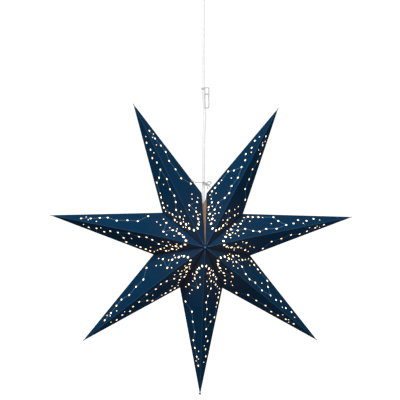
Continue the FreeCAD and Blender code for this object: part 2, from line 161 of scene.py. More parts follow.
def open_up(piece, kind="FACE"):
    """Opens a piece in edit mode with nothing selected."""
    hold(piece)
    bpy.ops.object.mode_set(mode="EDIT")
    bpy.ops.mesh.select_mode(type=kind)
    bpy.ops.mesh.select_all(action="DESELECT")


def pick(kind, test):
    """Selects the corners, edges or faces of the open piece whose middle passes the test."""
    mesh = bmesh.from_edit_mesh(bpy.context.edit_object.data)
    bpy.ops.mesh.select_mode(type=kind)
    bpy.ops.mesh.select_all(action="DESELECT")
    parts = {"VERT": mesh.verts, "EDGE": mesh.edges, "FACE": mesh.faces}[kind]
    picked = 0
    for part in parts:
        middle = part.co if kind == "VERT" else sum((v.co for v in part.verts), Vector()) / len(part.verts)
        if test(middle):
            part.select_set(True)
            picked += 1
    bmesh.update_edit_mesh(bpy.context.edit_object.data)
    return picked


def close_up(tidy=True):
    """Merges doubles, points the faces outwards and leaves edit mode."""
    if tidy:
        bpy.ops.mesh.select_all(action="SELECT")
        bpy.ops.mesh.remove_doubles(threshold=0.00001)
        bpy.ops.mesh.normals_make_consistent(inside=False)
    bpy.ops.object.mode_set(mode="OBJECT")


print("selecting ready")

# %% [markdown]
# The same few steps finish every piece. It gets its name, its modifiers are applied so that the
# mesh is what is seen, and its place, turn and size are put into the mesh, which leaves the
# object itself at the origin. A piece that repeats is copied with a mesh of its own.

# %% Helpers for finishing a piece
def named(name):
    """Names the primitive that was just added, and its mesh."""
    piece = bpy.context.object
    piece.name = name
    piece.data.name = name
    return piece


def modify(piece, kind, **settings):
    """Adds a modifier with these settings and applies it."""
    hold(piece)
    modifier = piece.modifiers.new(kind.lower(), kind)
    for setting, value in settings.items():
        setattr(modifier, setting, value)
    bpy.ops.object.modifier_apply(modifier=modifier.name)
    return piece


def settle(piece):
    """Puts the piece's place into its mesh, so that its object sits at the origin."""
    hold(piece)
    bpy.ops.object.transform_apply(location=True, rotation=True, scale=True)
    return piece


def smooth(piece, angle=35):
    """Smooth shading, with edges sharper than the angle left crisp."""
    hold(piece)
    bpy.ops.object.shade_smooth_by_angle(angle=math.radians(angle))
    return piece


def joined(name, *pieces):
    """Several pieces made one."""
    let_go()
    for piece in pieces:
        piece.select_set(True)
    bpy.context.view_layer.objects.active = pieces[0]
    bpy.ops.object.join()
    return named(name)


def own_copy(piece, name):
    """A copy with its own mesh."""
    copy = piece.copy()
    copy.data = piece.data.copy()
    copy.name = name
    copy.data.name = name
    bpy.context.scene.collection.objects.link(copy)
    return copy


print("finishing ready")

# %% [markdown]
# Turned parts, such as the cup, the gland and the lampholder, are rings that grow: one circle
# is extruded from ring to ring along the profile, widened or narrowed each time, and closed at
# its ends. It is the same as turning on a lathe, and every ring stays round.

# %% Helper for turned parts
def turned(name, profile, sides=48, loop=False):
    """A turned piece from its profile, pairs of radius and height in millimetres.

    A profile that is a loop comes back to its start. Any other is closed by a disc at each end.
    """
    let_go()
    start_radius, start_height = profile[0]
    bpy.ops.mesh.primitive_circle_add(vertices=sides, radius=start_radius * MM, fill_type="NOTHING",
                                      location=(0, 0, start_height * MM))
    piece = named(name)
    settle(piece)
    bpy.ops.object.mode_set(mode="EDIT")
    bpy.ops.mesh.select_mode(type="EDGE")
    bpy.ops.mesh.select_all(action="SELECT")
    if not loop:
        bpy.ops.mesh.edge_face_add()
        bpy.ops.mesh.select_mode(type="EDGE")
    radius, height = start_radius, start_height
    for next_radius, next_height in profile[1:] + (profile[:1] if loop else ()):
        bpy.ops.mesh.extrude_edges_move()
        share = next_radius / radius
        bpy.ops.transform.resize(value=(share, share, 1), center_override=(0, 0, 0))
        bpy.ops.transform.translate(value=(0, 0, (next_height - height) * MM))
        radius, height = next_radius, next_height
    if not loop:
        bpy.ops.mesh.edge_face_add()
    close_up()
    return piece


print("lathe ready")

# %% [markdown]
# The cable is round white plastic, 5.5 mm thick, hanging straight from the ceiling cup's gland
# to the lampholder's grip, so it is a fixed 425 mm held taut by the lamp's weight. It weaves
# through the cord clip, which pushes it a few millimetres aside, and it is straight again some
# 50 mm below. Each control point is a height, and how far right and how far back it stands.

# %% Power cable
CABLE_WIDTH = 5.5 * MM
CABLE_RUN = ((-479.6, 0, 0), (-472, 0, 0), (-448, 0.1, 0), (-420, 0.6, 0), (-395, 0.9, 0),
             (-352, 0.9, 0.2), (-328, 1.9, 0.8), (-304, 3.4, 1.8), (-286, 2.6, 2.6), (-268, 0.4, 2.2),
             (-258, 0, 0.3), (-248, 0, 0), (-200, -0.4, 0.2), (-120, -0.2, 0), (-63, 0, 0), (-55, 0, 0))


def spline_cord(name, points, width, sides=6):
    """A round cord along one smooth open spline."""
    line = bpy.data.curves.new(name, "CURVE")
    line.dimensions = "3D"
    run = line.splines.new("NURBS")
    run.points.add(len(points) - 1)
    for control, point in zip(run.points, points):
        control.co = (*point, 1)
    run.order_u = 3
    run.use_endpoint_u = True
    line.resolution_u = 8
    line.bevel_depth = width / 2
    line.bevel_resolution = sides
    line.use_fill_caps = True
    cord = bpy.data.objects.new(name, line)
    bpy.context.scene.collection.objects.link(cord)
    return cord


cable_points = [Vector((x, y, z)) * MM for z, x, y in CABLE_RUN]
cable = spline_cord("hanging_cable", cable_points, CABLE_WIDTH)

# %% [markdown]
# Finishes are built from nodes. A few effects are shared by several of them: the fibres of
# card and paper, a line printed or creased on the card, and the fine unevenness of moulded
# plastic or of metal. Each is a group made once. A group gives only masks and values, and the
# shader stays in its own material, so that every finish can still be read part by part.

# %% Helpers for nodes
def add_node(tree, kind, inputs=None, **settings):
    """Adds a node, with its settings, and its inputs as plain values or as links."""
    made = tree.nodes.new(kind)
    for setting, value in settings.items():
        setattr(made, setting, value)
    for socket, value in (inputs or {}).items():
        if isinstance(value, bpy.types.NodeSocket):
            tree.links.new(value, made.inputs[socket])
        else:
            made.inputs[socket].default_value = value
    return made


def arithmetic(tree, operation, first, second=0.0, clamp=False):
    """One sum, for plain values or for links."""
    made = add_node(tree, "ShaderNodeMath", {0: first, 1: second}, operation=operation, use_clamp=clamp)
    return made.outputs[0]


def blended(tree, share, first, second):
    """The first colour where the share is 0, and the second where it is 1."""
    made = add_node(tree, "ShaderNodeMix", {0: share, 6: first, 7: second}, data_type="RGBA")
    return made.outputs[2]


print("nodes ready")

# %% [markdown]
# A group is made with its sockets, filled with nodes, and then placed in each finish with that
# finish's own values. A finish is a material and its shader. What is the same all over the
# surface is set on the shader itself, and only what changes over it comes from nodes.

# %% Helpers for groups and finishes
def group_of(name, takes, gives):
    """An empty node group with these named sockets."""
    group = bpy.data.node_groups.new(name, "ShaderNodeTree")
    for socket, (kind, value) in takes.items():
        made = group.interface.new_socket(socket, in_out="INPUT", socket_type="NodeSocket" + kind)
        made.default_value = value
    for socket, kind in gives.items():
        group.interface.new_socket(socket, in_out="OUTPUT", socket_type="NodeSocket" + kind)
    return group, add_node(group, "NodeGroupInput").outputs, add_node(group, "NodeGroupOutput").inputs


def use_group(tree, group, inputs=None):
    """Places a group in a finish, and returns what it gives."""
    return add_node(tree, "ShaderNodeGroup", inputs, node_tree=group).outputs


def new_finish(name, **plain):
    """A material and its shader. The values given are the same all over the surface."""
    finish = bpy.data.materials.new(name)
    finish.use_nodes = True
    shader = finish.node_tree.nodes["Principled BSDF"]
    for socket, value in plain.items():
        shader.inputs[socket.replace("_", " ")].default_value = value
    return finish, finish.node_tree, shader


def colour(red, green, blue):
    """A colour given as it looks on a screen, from 0 to 255, as the shader wants it."""
    parts = [v / 255 for v in (red, green, blue)]
    return tuple(v / 12.92 if v < 0.04045 else ((v + 0.055) / 1.055) ** 2.4 for v in parts) + (1,)


print("groups and finishes ready")

# %% [markdown]
# Card and paper are felted fibres: seen close up, the surface is faintly cloudy and has a fine
# tooth. Two noises give that, a slow one for the clouds and a quick one for the fibres.

# %% Group: paper fibres
paper, got, out = group_of(
    "paper_fibres", {"Cloud Size": ("Float", 30.0), "Fibre Size": ("Float", 900.0)},
    {"Clouds": "Float", "Fibres": "Float"})
place = add_node(paper, "ShaderNodeTexCoord").outputs["Object"]
clouds = add_node(paper, "ShaderNodeTexNoise", {"Vector": place, "Scale": got["Cloud Size"], "Detail": 4.0})
fibres = add_node(paper, "ShaderNodeTexNoise", {"Vector": place, "Scale": got["Fibre Size"], "Detail": 3.0,
                                                "Distortion": 1.5})
paper.links.new(clouds.outputs[0], out["Clouds"])
paper.links.new(fibres.outputs[0], out["Fibres"])
print("group", paper.name)

# %% [markdown]
# The chart's thin lines and the card's creases are straight lines on the flat sheet. A group
# measures how far a spot is from the line between two points: it finds the nearest point on
# the line, and the distance to it, and fades the mask over the line's soft edge.

# %% Group: a line on the sheet
sheet_line, got, out = group_of(
    "sheet_line",
    {"Spot": ("Vector", (0, 0, 0)), "From": ("Vector", (0, 0, 0)), "To": ("Vector", (0, 1, 0)),
     "Width": ("Float", 0.5), "Softness": ("Float", 0.3)},
    {"Mask": "Float"})


def vector_math(tree, operation, first, second=None, scale=None):
    """One sum with vectors. It returns both outputs, Vector and Value."""
    inputs = {0: first}
    if second is not None:
        inputs[1] = second
    if scale is not None:
        inputs["Scale"] = scale
    return add_node(tree, "ShaderNodeVectorMath", inputs, operation=operation).outputs


along = vector_math(sheet_line, "SUBTRACT", got["To"], got["From"])["Vector"]
off = vector_math(sheet_line, "SUBTRACT", got["Spot"], got["From"])["Vector"]
reach = vector_math(sheet_line, "DOT_PRODUCT", off, along)["Value"]
whole = vector_math(sheet_line, "DOT_PRODUCT", along, along)["Value"]
share = arithmetic(sheet_line, "DIVIDE", reach, whole, clamp=True)
nearest = vector_math(sheet_line, "SCALE", along, scale=share)["Vector"]
gap = vector_math(sheet_line, "DISTANCE", off, nearest)["Value"]
past = arithmetic(sheet_line, "SUBTRACT", gap, arithmetic(sheet_line, "MULTIPLY", got["Width"], 0.5))
faded = arithmetic(sheet_line, "DIVIDE", past, got["Softness"], clamp=True)
sheet_line.links.new(arithmetic(sheet_line, "SUBTRACT", 1.0, faded), out["Mask"])
print("group", sheet_line.name)

# %% [markdown]
# Moulded plastic, paint and metal are never quite even. A slow noise varies how shiny the
# surface is, as handling and dust do, and a quick one makes the fine tooth of the mould or of
# the paint.

# %% Group: surface unevenness
uneven, got, out = group_of(
    "uneven_surface",
    {"Patch Size": ("Float", 40.0), "Tooth Size": ("Float", 900.0), "Smoothest": ("Float", 0.3),
     "Roughest": ("Float", 0.5)},
    {"Roughness": "Float", "Patches": "Float", "Tooth": "Float"})
place = add_node(uneven, "ShaderNodeTexCoord").outputs["Object"]
patches = add_node(uneven, "ShaderNodeTexNoise",
                   {"Vector": place, "Scale": got["Patch Size"], "Detail": 5.0})
tooth = add_node(uneven, "ShaderNodeTexNoise",
                 {"Vector": place, "Scale": got["Tooth Size"], "Detail": 2.0})
spread = add_node(uneven, "ShaderNodeMapRange", {0: patches.outputs[0], 1: 0.3, 2: 0.7, 3: got["Smoothest"],
                                                 4: got["Roughest"]})
uneven.links.new(spread.outputs[0], out["Roughness"])
uneven.links.new(patches.outputs[0], out["Patches"])
uneven.links.new(tooth.outputs[0], out["Tooth"])
print("group", uneven.name)

# %% [markdown]
# The same steps repeat in nearly every finish. Two close colours are mixed by a mask, the
# polish is made uneven, and a fine relief is raised. Plain materials need nothing else, so one
# helper makes a whole finish of them.

# %% Helpers for colour, sheen and relief
def object_spot(tree):
    """Where a point lies on the object, in metres."""
    return add_node(tree, "ShaderNodeTexCoord").outputs["Object"]


def object_axis(tree, axis):
    """How far a point lies along one of the object's axes: 0 is right, 1 is back and 2 is up."""
    return add_node(tree, "ShaderNodeSeparateXYZ", {0: object_spot(tree)}).outputs[axis]


def ramp(tree, value, start, end, first, last):
    """Goes from first to last as the value goes from start to end."""
    return add_node(tree, "ShaderNodeMapRange", {0: value, 1: start, 2: end, 3: first, 4: last}).outputs[0]


def two_colours(tree, shader, mask, first, second):
    """Colours the surface from first to second by the mask."""
    tree.links.new(blended(tree, mask, first, second), shader.inputs["Base Color"])


def uneven_sheen(tree, shader, patch_size, tooth_size, smoothest, roughest):
    """Makes the polish uneven, and returns the grain for the colour and the relief to follow."""
    grain = use_group(tree, uneven, {"Patch Size": patch_size, "Tooth Size": tooth_size,
                                     "Smoothest": smoothest, "Roughest": roughest})
    tree.links.new(grain["Roughness"], shader.inputs["Roughness"])
    return grain


def relief(tree, shader, height, strength, distance):
    """Makes the surface look raised where the height is high, by at most the distance, in metres."""
    bump = add_node(tree, "ShaderNodeBump", {"Strength": strength, "Distance": distance, "Height": height})
    tree.links.new(bump.outputs[0], shader.inputs["Normal"])


def grained(name, colours, polish, patch_size, tooth_size, tooth_depth, tooth_distance, **constants):
    """A whole finish: two close colours in soft patches, an uneven polish and a fine tooth."""
    finish, tree, shader = new_finish(name, **constants)
    grain = uneven_sheen(tree, shader, patch_size, tooth_size, *polish)
    two_colours(tree, shader, grain["Patches"], *colours)
    relief(tree, shader, grain["Tooth"], tooth_depth, tooth_distance)
    return finish


print("finishes can be made")

# %% [markdown]
# The chart punched in every arm is an invented sky. Beside the ridge, on the arm's right, a
# few large stars stand far apart on thin printed lines. On its left the stars are closer
# together, in one chain along the ridge and one along the outer edge, with small stars thick
# near the hub. Each star is given in millimetres: across from the ridge, and along from the hub.

# %% The chart
RIGHT_CHAIN = ((5, 240), (8, 222), (12, 205), (15, 190), (13, 172), (17, 152), (19, 132), (31, 114))
RIGHT_HOOK = ((4, 37), (9, 42), (13, 51), (16, 64), (10, 81), (26, 78))
LEFT_CHAIN = ((-10, 222), (-9, 207), (-13, 191), (-9, 180), (-9, 165), (-6, 144), (-9, 124), (-7, 110),
              (-10, 98), (-16, 84), (-16, 69), (-20, 57), (-12, 52), (-10, 43), (-4, 37))
LEFT_EDGE = ((-9, 165), (-18, 152), (-26, 145), (-31, 116), (-33, 105), (-35, 96), (-26, 78), (-27, 67))
SMALL_STARS = ((9, 231), (5, 226), (5, 210), (-6, 233), (-6, 199), (-16, 137), (-29, 124), (-27, 97),
               (-35, 88), (-30, 83), (-9, 78), (-22, 72), (-7, 68), (-12, 63), (-25, 62), (-14, 58),
               (-7, 52), (-19, 49), (-15, 47), (6, 74), (7, 60), (20, 56), (16, 57), (12, 45), (19, 70),
               (24, 96), (31, 84), (20, 88))
CHAINS = (RIGHT_CHAIN, RIGHT_HOOK, LEFT_CHAIN[4:12], LEFT_EDGE)
LARGE_STARS = tuple(dict.fromkeys(RIGHT_CHAIN + RIGHT_HOOK[3:] + LEFT_CHAIN[:-4] + LEFT_EDGE))
ARCH_STARS = RIGHT_HOOK[:3] + LEFT_CHAIN[-4:]
ARCH, LARGE, SMALL = 4.6, 3.9, 2.4     # the punches' widths
print(len(ARCH_STARS) + len(LARGE_STARS), "large stars and", len(SMALL_STARS), "small ones on each sheet")

# %% [markdown]
# The card is printed deep blue on its outer side. The print is matt with a soft sheen and a little cloudy.
# Along the glued valleys it is painted darker, partly for the glue line and partly as painted shade in the
# valley. On the ridge it is painted paler, partly where the fold has broken its surface and partly as a
# painted highlight on the crease. The chart's lines are a faint pale blue. The sheet's own measure is kept
# in each arm's UV map, so that lines and creases follow the card however the arm lies.

# %% Printed card: ink and chart lines
WIDE, LONG = 100.0, 300.0     # the millimetres that the UV map's unit square covers

card_blue, tree, shader = new_finish("card_blue", Specular_IOR_Level=0.02, Emission_Strength=1.0)
sheet = add_node(tree, "ShaderNodeUVMap", uv_map="sheet").outputs[0]
spot = vector_math(tree, "MULTIPLY", vector_math(tree, "SUBTRACT", sheet, (0.5, 0, 0))["Vector"],
                   (WIDE, LONG, 0))["Vector"]
split = add_node(tree, "ShaderNodeSeparateXYZ", {0: spot}).outputs
beside = arithmetic(tree, "ABSOLUTE", split[0])
folded = add_node(tree, "ShaderNodeCombineXYZ", {0: beside, 1: split[1]}).outputs[0]
fibre = use_group(tree, paper, {"Cloud Size": 22.0, "Fibre Size": 700.0})

ink = blended(tree, fibre["Clouds"], colour(6, 44, 72), colour(11, 53, 84))
lines = 0.0
for chain in CHAINS:
    for start, end in zip(chain, chain[1:]):
        mask = use_group(tree, sheet_line, {"Spot": spot, "From": (*start, 0), "To": (*end, 0),
                                            "Width": 0.5, "Softness": 0.3})["Mask"]
        lines = arithmetic(tree, "MAXIMUM", lines, mask)
inked = blended(tree, arithmetic(tree, "MULTIPLY", lines, 0.5), ink, colour(105, 140, 165))
print("lines", sum(len(chain) - 1 for chain in CHAINS))

# %% [markdown]
# The card shows where it was folded and handled, and it carries painted light and shade on its folds. The
# ridge is paler, partly rubbed and partly a painted highlight on the crease. The glued valleys are darker,
# partly the glue line and partly painted shade. The outer edges are darker, and the print has gone from the
# tip and from the gathered centre. Each is a line between two of the sheet's corners, the same on both
# sides of the ridge.

# %% Printed card: creases, wear, painted highlight and painted shade
hub_end, notch_end, tip_end = (0, 0, 0), (SIDE / MM, RISE / MM, 0), (0, TIP / MM, 0)


def crease(start, end, width, softness):
    """The mask of one crease, mirrored about the ridge."""
    return use_group(tree, sheet_line, {"Spot": folded, "From": start, "To": end, "Width": width,
                                        "Softness": softness})["Mask"]


ridge = crease(hub_end, tip_end, 0.5, 1.0)
valley = crease(hub_end, notch_end, 0.5, 1.4)
edge = crease(notch_end, tip_end, 0.5, 1.2)
centre = crease(hub_end, (0, 7, 0), 3.0, 9.0)
point = crease((0, 295.5, 0), tip_end, 2.0, 2.0)
# the pale ridge: partly rubbed print, partly a painted highlight on the crease
ridge_wear_and_highlight = arithmetic(tree, "MULTIPLY", ridge, arithmetic(tree, "MULTIPLY", fibre["Fibres"], 0.5))
creased = blended(tree, ridge_wear_and_highlight, inked, colour(70, 100, 125))
# the valleys are painted darker: partly the glue line, partly painted shade between the arms
valley_glue_and_shade = blended(tree, arithmetic(tree, "MULTIPLY", valley, 0.65), creased, colour(3, 14, 26))
edged = blended(tree, arithmetic(tree, "MULTIPLY", edge, 0.6), valley_glue_and_shade, colour(6, 20, 33))
# pale lines running out of the centre along the ridges: wear and painted highlight together
rubbed = blended(tree, arithmetic(tree, "MULTIPLY", centre, ridge_wear_and_highlight), edged, colour(104, 122, 138))
worn = blended(tree, point, rubbed, colour(122, 124, 120))
tree.links.new(worn, shader.inputs["Base Color"])
print("wear laid on", card_blue.name)

# %% [markdown]
# Close to the bulb the card is thin enough to let a trace of warm light through, so it gives
# off a very little light that fades with the distance from the bulb. The clouds of the board
# make its sheen uneven, and its fibres raise a fine tooth.

# %% Printed card: warmth, sheen and tooth
bulb_low, bulb_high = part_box("bulb_globe")
BULB = (bulb_low + bulb_high) / 2
away = vector_math(tree, "DISTANCE", object_spot(tree), tuple(BULB))["Value"]
near = ramp(tree, away, 60 * MM, 130 * MM, 1.0, 0.0)
warmth = blended(tree, near, (0, 0, 0, 1), (0.008, 0.0045, 0.0012, 1))
tree.links.new(warmth, shader.inputs["Emission Color"])
tree.links.new(ramp(tree, fibre["Clouds"], 0.3, 0.7, 0.52, 0.66), shader.inputs["Roughness"])
relief(tree, shader, fibre["Fibres"], 0.12, 0.4 * MM)
print("finish", card_blue.name, "with", len(tree.nodes), "nodes")

# %% [markdown]
# Inside, and on its own cut edges, the card is plain: warm buff board with flecks of fibre. The
# bulb's light soaks through the cut edges of the punched stars, which gives them a warm rim. So
# the edge of a hole has its own finish with an amber glow.

# %% Finishes: plain card and the cut edge
card_buff, tree, shader = new_finish("card_buff", Roughness=0.85, Specular_IOR_Level=0.2)
fibre = use_group(tree, paper, {"Cloud Size": 35.0, "Fibre Size": 600.0})
fleck = ramp(tree, fibre["Fibres"], 0.62, 0.7, 0.0, 0.5)
board = blended(tree, fibre["Clouds"], colour(122, 100, 79), colour(150, 126, 100))
two_colours(tree, shader, fleck, board, colour(92, 72, 55))
relief(tree, shader, fibre["Fibres"], 0.25, 0.4 * MM)

cut_edge, tree, shader = new_finish("cut_edge", Roughness=0.9, Specular_IOR_Level=0.1,
                                    Emission_Strength=0.8)
fibre = use_group(tree, paper, {"Cloud Size": 60.0, "Fibre Size": 900.0})
two_colours(tree, shader, fibre["Clouds"], colour(150, 110, 70), colour(180, 140, 95))
glow = blended(tree, fibre["Clouds"], colour(236, 178, 108), colour(255, 216, 160))
tree.links.new(glow, shader.inputs["Emission Color"])
print("finishes", card_buff.name, "and", cut_edge.name)

# %% [markdown]
# Behind the card lies a sheet of white tissue, which spreads the bulb's light so that every
# star is lit from any side. Tissue near the bulb is brighter, and its fibres make it a little
# blotchy. The glow is on the outer side only: the inner side is lit by the bulb itself.

# %% Finishes: lit tissue and its inner side
tissue_lit, tree, shader = new_finish("tissue_lit", Roughness=0.9, Specular_IOR_Level=0.0,
                                      Base_Color=(0.8, 0.76, 0.68, 1), Emission_Strength=2.6)
fibre = use_group(tree, paper, {"Cloud Size": 45.0, "Fibre Size": 500.0})
away = vector_math(tree, "DISTANCE", object_spot(tree), tuple(BULB))["Value"]
near = ramp(tree, away, 50 * MM, 300 * MM, 1.0, 0.0)
patchy = arithmetic(tree, "MULTIPLY", near, arithmetic(tree, "ADD", fibre["Clouds"], 0.5), clamp=True)
glow = blended(tree, patchy, (0.58, 0.47, 0.3, 1), (1.0, 0.85, 0.58, 1))
tree.links.new(glow, shader.inputs["Emission Color"])

tissue_white, tree, shader = new_finish("tissue_white", Roughness=0.9, Specular_IOR_Level=0.1)
fibre = use_group(tree, paper, {"Cloud Size": 45.0, "Fibre Size": 500.0})
two_colours(tree, shader, fibre["Clouds"], colour(228, 222, 208), colour(244, 240, 230))
print("bulb at", [round(v / MM) for v in BULB])

# %% [markdown]
# One arm is modelled upright at the origin and then copied. It starts as a four-sided cone,
# tip up, whose base corners are the front, the back and the two sides. The sides are lifted
# to the notches' height and the base is taken away, which leaves four flat panels: the arm as
# it is folded. The hub end is cut square, clear of the star's middle.

# %% One arm's four panels
let_go()
bpy.ops.mesh.primitive_cone_add(vertices=4, radius1=1, radius2=0, depth=TIP, end_fill_type="NGON",
                                location=(0, 0, TIP / 2))
shell = named("arm_shell")
shell.scale = (SIDE, DEPTH, 1)
settle(shell)
open_up(shell, "VERT")
pick("VERT", lambda p: abs(p.x) > 0.01)
bpy.ops.transform.translate(value=(0, 0, RISE))
pick("FACE", lambda p: abs(p.x) < 0.0001 and abs(p.y) < 0.0001)
bpy.ops.mesh.delete(type="FACE")
bpy.ops.mesh.select_all(action="SELECT")
bpy.ops.mesh.bisect(plane_co=(0, 0, 4 * MM), plane_no=(0, 0, 1), clear_inner=True)
close_up()
print("panels", len(shell.data.polygons), "box", [round(v / MM, 1) for v in shell.dimensions])

# %% [markdown]
# A flat panel has only three corners, so it is subdivided before it gets any bend. The sheet's
# measure is written to a UV map now, while the arm is upright and its ridge lies on the axis.
# The tissue starts as the same shell, a little smaller, so that it lies just behind the card,
# and a little narrower still, so that two tissues don't rub in the valley between their arms.

# %% Sheet map, tissue and card thickness
open_up(shell)
bpy.ops.mesh.select_all(action="SELECT")
bpy.ops.mesh.subdivide(number_cuts=11)
close_up(tidy=False)
if "sheet" not in shell.data.uv_layers:
    shell.data.uv_layers.new(name="sheet")
for layer in list(shell.data.uv_layers):
    if layer.name != "sheet":
        shell.data.uv_layers.remove(layer)
sheet_map = shell.data.uv_layers["sheet"]
for corner in shell.data.loops:
    flat = shell.data.vertices[corner.vertex_index].co
    sheet_map.data[corner.index].uv = (flat.x / MM / WIDE + 0.5, flat.z / MM / LONG)

TISSUE_SHARE = (0.96, 0.976, 0.976)
tissue = own_copy(shell, "tissue")
tissue.scale = TISSUE_SHARE
settle(tissue)
for finish in (card_blue, card_buff, cut_edge):
    shell.data.materials.append(finish)
modify(shell, "SOLIDIFY", thickness=CARD, offset=-1, use_even_offset=True, material_offset=1,
       material_offset_rim=1)
for finish in (tissue_lit, tissue_white):
    tissue.data.materials.append(finish)
modify(tissue, "SOLIDIFY", thickness=0.15 * MM, offset=-1, use_even_offset=True, material_offset=1,
       material_offset_rim=1)
print("card", len(shell.data.vertices), "corners, tissue", len(tissue.data.vertices))

# %% [markdown]
# Each star is a punched hole, square to its panel. One round punch is turned to the panel's
# slope and copied to every star of the chart, on the front sheet and, mirrored, on the back.
# The copies are joined and taken out of the card with one Boolean, whose walls keep the
# punch's finish, the glowing cut edge.

# %% Punch the stars
# how steeply a panel falls away across the arm, forwards and along it, which is also its normal
SLOPE = Vector((1 / SIDE * (1 - RISE / TIP), 1 / DEPTH, 1 / TIP))


def on_panel(across, along, back_sheet=False):
    """The point of the card's outer face at this place on the chart, and the face's normal."""
    x, z = across * MM, along * MM
    y = DEPTH * (1 - SLOPE.x * abs(x) - SLOPE.z * z)
    side = 1 if back_sheet else -1
    normal = Vector((SLOPE.x * (1 if x > 0 else -1), SLOPE.y * side, SLOPE.z)).normalized()
    return Vector((x, side * y, z)), normal


punches = []
for size, stars in ((ARCH, ARCH_STARS), (LARGE, LARGE_STARS), (SMALL, SMALL_STARS)):
    let_go()
    bpy.ops.mesh.primitive_cylinder_add(vertices=12, radius=size / 2 * MM, depth=1.3 * MM,
                                        location=(0, 0, 0))
    punch = named("punch")
    punch.data.materials.append(cut_edge)
    for across, along in stars:
        for back_sheet in (False, True):
            middle, normal = on_panel(across, along, back_sheet)
            copy = own_copy(punch, "punch")
            turned_square = normal.to_track_quat("Z", "Y").to_matrix().to_4x4()
            copy.matrix_world = Matrix.Translation(middle) @ turned_square
            punches.append(copy)
    bpy.data.objects.remove(punch)
cutter = settle(joined("punches", *punches))
modify(shell, "BOOLEAN", operation="DIFFERENCE", solver="EXACT", object=cutter, material_mode="TRANSFER")
bpy.data.objects.remove(cutter)
print(len(punches), "holes, card now", len(shell.data.polygons), "faces")

# %% [markdown]
# A real arm is not quite flat: the card swells a little where the punched holes weaken it, and
# each panel has its own slow waves. A displacement by a soft cloud, straight forwards and
# backwards, gives that. It reads the arm's final place, so two arms move alike where their
# valleys meet. It fades out near the hub, where the folds hold the card stiff. The two end
# arms are also drawn a little clockwise beside the slit, as the hung star is.

# %% Copy the arms to their places
waves = bpy.data.textures.new("waves", "CLOUDS")
waves.noise_scale = 0.05
waves.noise_depth = 1


def place_arm(source, name, number):
    """Copies a piece of the arm to an arm's place, lets it hang a little out of true and waves it."""
    piece = own_copy(source, name)
    sway, stretch = ARMS[number][3:]
    slit_side = {RIGHT_OF_SLIT: -1, LEFT_OF_SLIT: 1}.get(number, 0)
    swung = Vector((math.cos(half_pitch), 0, -slit_side * math.sin(half_pitch))) * NOTCH * SWING
    for vertex in piece.data.vertices:
        vertex.co += swung * max(0.0, slit_side * vertex.co.x / SIDE)
        past_notch = max(0.0, (vertex.co.z - RISE) / (TIP - RISE))
        vertex.co += Vector((sway, 0, stretch)) * MM * past_notch
    piece.rotation_euler = (0, arm_turn(number), 0)
    piece.location = HUB
    settle(piece)
    loose = piece.vertex_groups.new(name="loose")
    for vertex in piece.data.vertices:
        out_from_hub = math.hypot(vertex.co.x - HUB.x, vertex.co.z - HUB.z)
        loose.add([vertex.index], min(1, max(0, (out_from_hub - 0.015) / 0.08)), "REPLACE")
    modify(piece, "DISPLACE", texture=waves, texture_coords="LOCAL", direction="Y", strength=2.4 * MM,
           mid_level=0.5, vertex_group="loose")
    piece.vertex_groups.clear()
    return piece


def arm_side(number):
    """The direction across an arm, towards the next one clockwise."""
    turn = arm_turn(number)
    return (math.cos(turn), 0, -math.sin(turn))


folding = []     # piece, body, joint, side: what flattens as the star folds
for number, (arm, body, joint, sway, stretch) in enumerate(ARMS):
    card = place_arm(shell, "card_" + arm, number)
    lining = place_arm(tissue, "tissue_" + arm, number)
    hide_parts("arm_" + arm)
    for piece in (card, lining):
        folding.append((piece, body, joint, arm_side(number)))
for source in (shell, tissue):
    bpy.data.objects.remove(source)
print("arms at", [round(math.degrees(arm_turn(n)), 1) for n in range(7)])

# %% [markdown]
# The star is one long folded sheet, so its two end arms aren't glued to each other. Each ends
# in a flap of plain board that runs up the open edge from the front centre to the notch, and
# down the back. The right one leans across the slit behind the left arm's edge and hides most
# of the light; near the cable it stands straight. Each is a grid laid along the edge.

# %% End flaps
def end_flap(name, wall_turn, lean, width=8.0):
    """A strip of board along an end arm's open edge. Its inner side leans that far to the right."""
    let_go()
    bpy.ops.mesh.primitive_grid_add(x_subdivisions=2, y_subdivisions=40, size=1)
    strip = named(name)
    outwards = Vector((math.sin(wall_turn), 0, math.cos(wall_turn)))
    for vertex in strip.data.vertices:
        run = 0.02 + 0.96 * (vertex.co.y + 0.5)     # 0 at the front, 0.5 at the notch, 1 at the back
        depth = DEPTH * (2 * run - 1)
        edge_point = HUB + Vector((0, depth, 0)) + outwards * NOTCH * (1 - abs(2 * run - 1))
        turn_in = max(-1, min(1, (0.5 - run) * 9))
        inwards = (outwards * -0.61 + Vector((0, 0.79 * turn_in, 0))).normalized()
        tilt = math.radians(lean) * max(0.0, min(1.0, (0.485 - run) * 11))
        reach = (vertex.co.x + 0.5) * width * MM
        sideways = Vector((math.sin(tilt), 0, 0)) + inwards * math.cos(tilt)
        vertex.co = edge_point + sideways * reach
    strip.data.materials.append(card_buff)
    modify(strip, "SOLIDIFY", thickness=CARD, offset=0)
    return smooth(strip)


left_flap = end_flap("left_flap", math.radians(HANG - SLIT / 2) + SWING, -8)
right_flap = end_flap("right_flap", math.radians(HANG + SLIT / 2) + SWING, -58)
for flap, side, number in ((left_flap, "left", LEFT_OF_SLIT), (right_flap, "right", RIGHT_OF_SLIT)):
    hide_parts(side + "_end_flap")
    folding.append((flap, "upper_" + side, "fold_upper_" + side, arm_side(number)))
print("flaps", [round(v / MM, 1) for v in right_flap.dimensions])

# %% [markdown]
# Two tongues of the same board are folded in at the neck, under the cable's grip, and rest on
# the lampholder's shoulder: they carry the star. Their outline is the frame's own, so each is
# a copy of that mesh, merged into one skin, drawn out to its flap, with its cut edges softened.

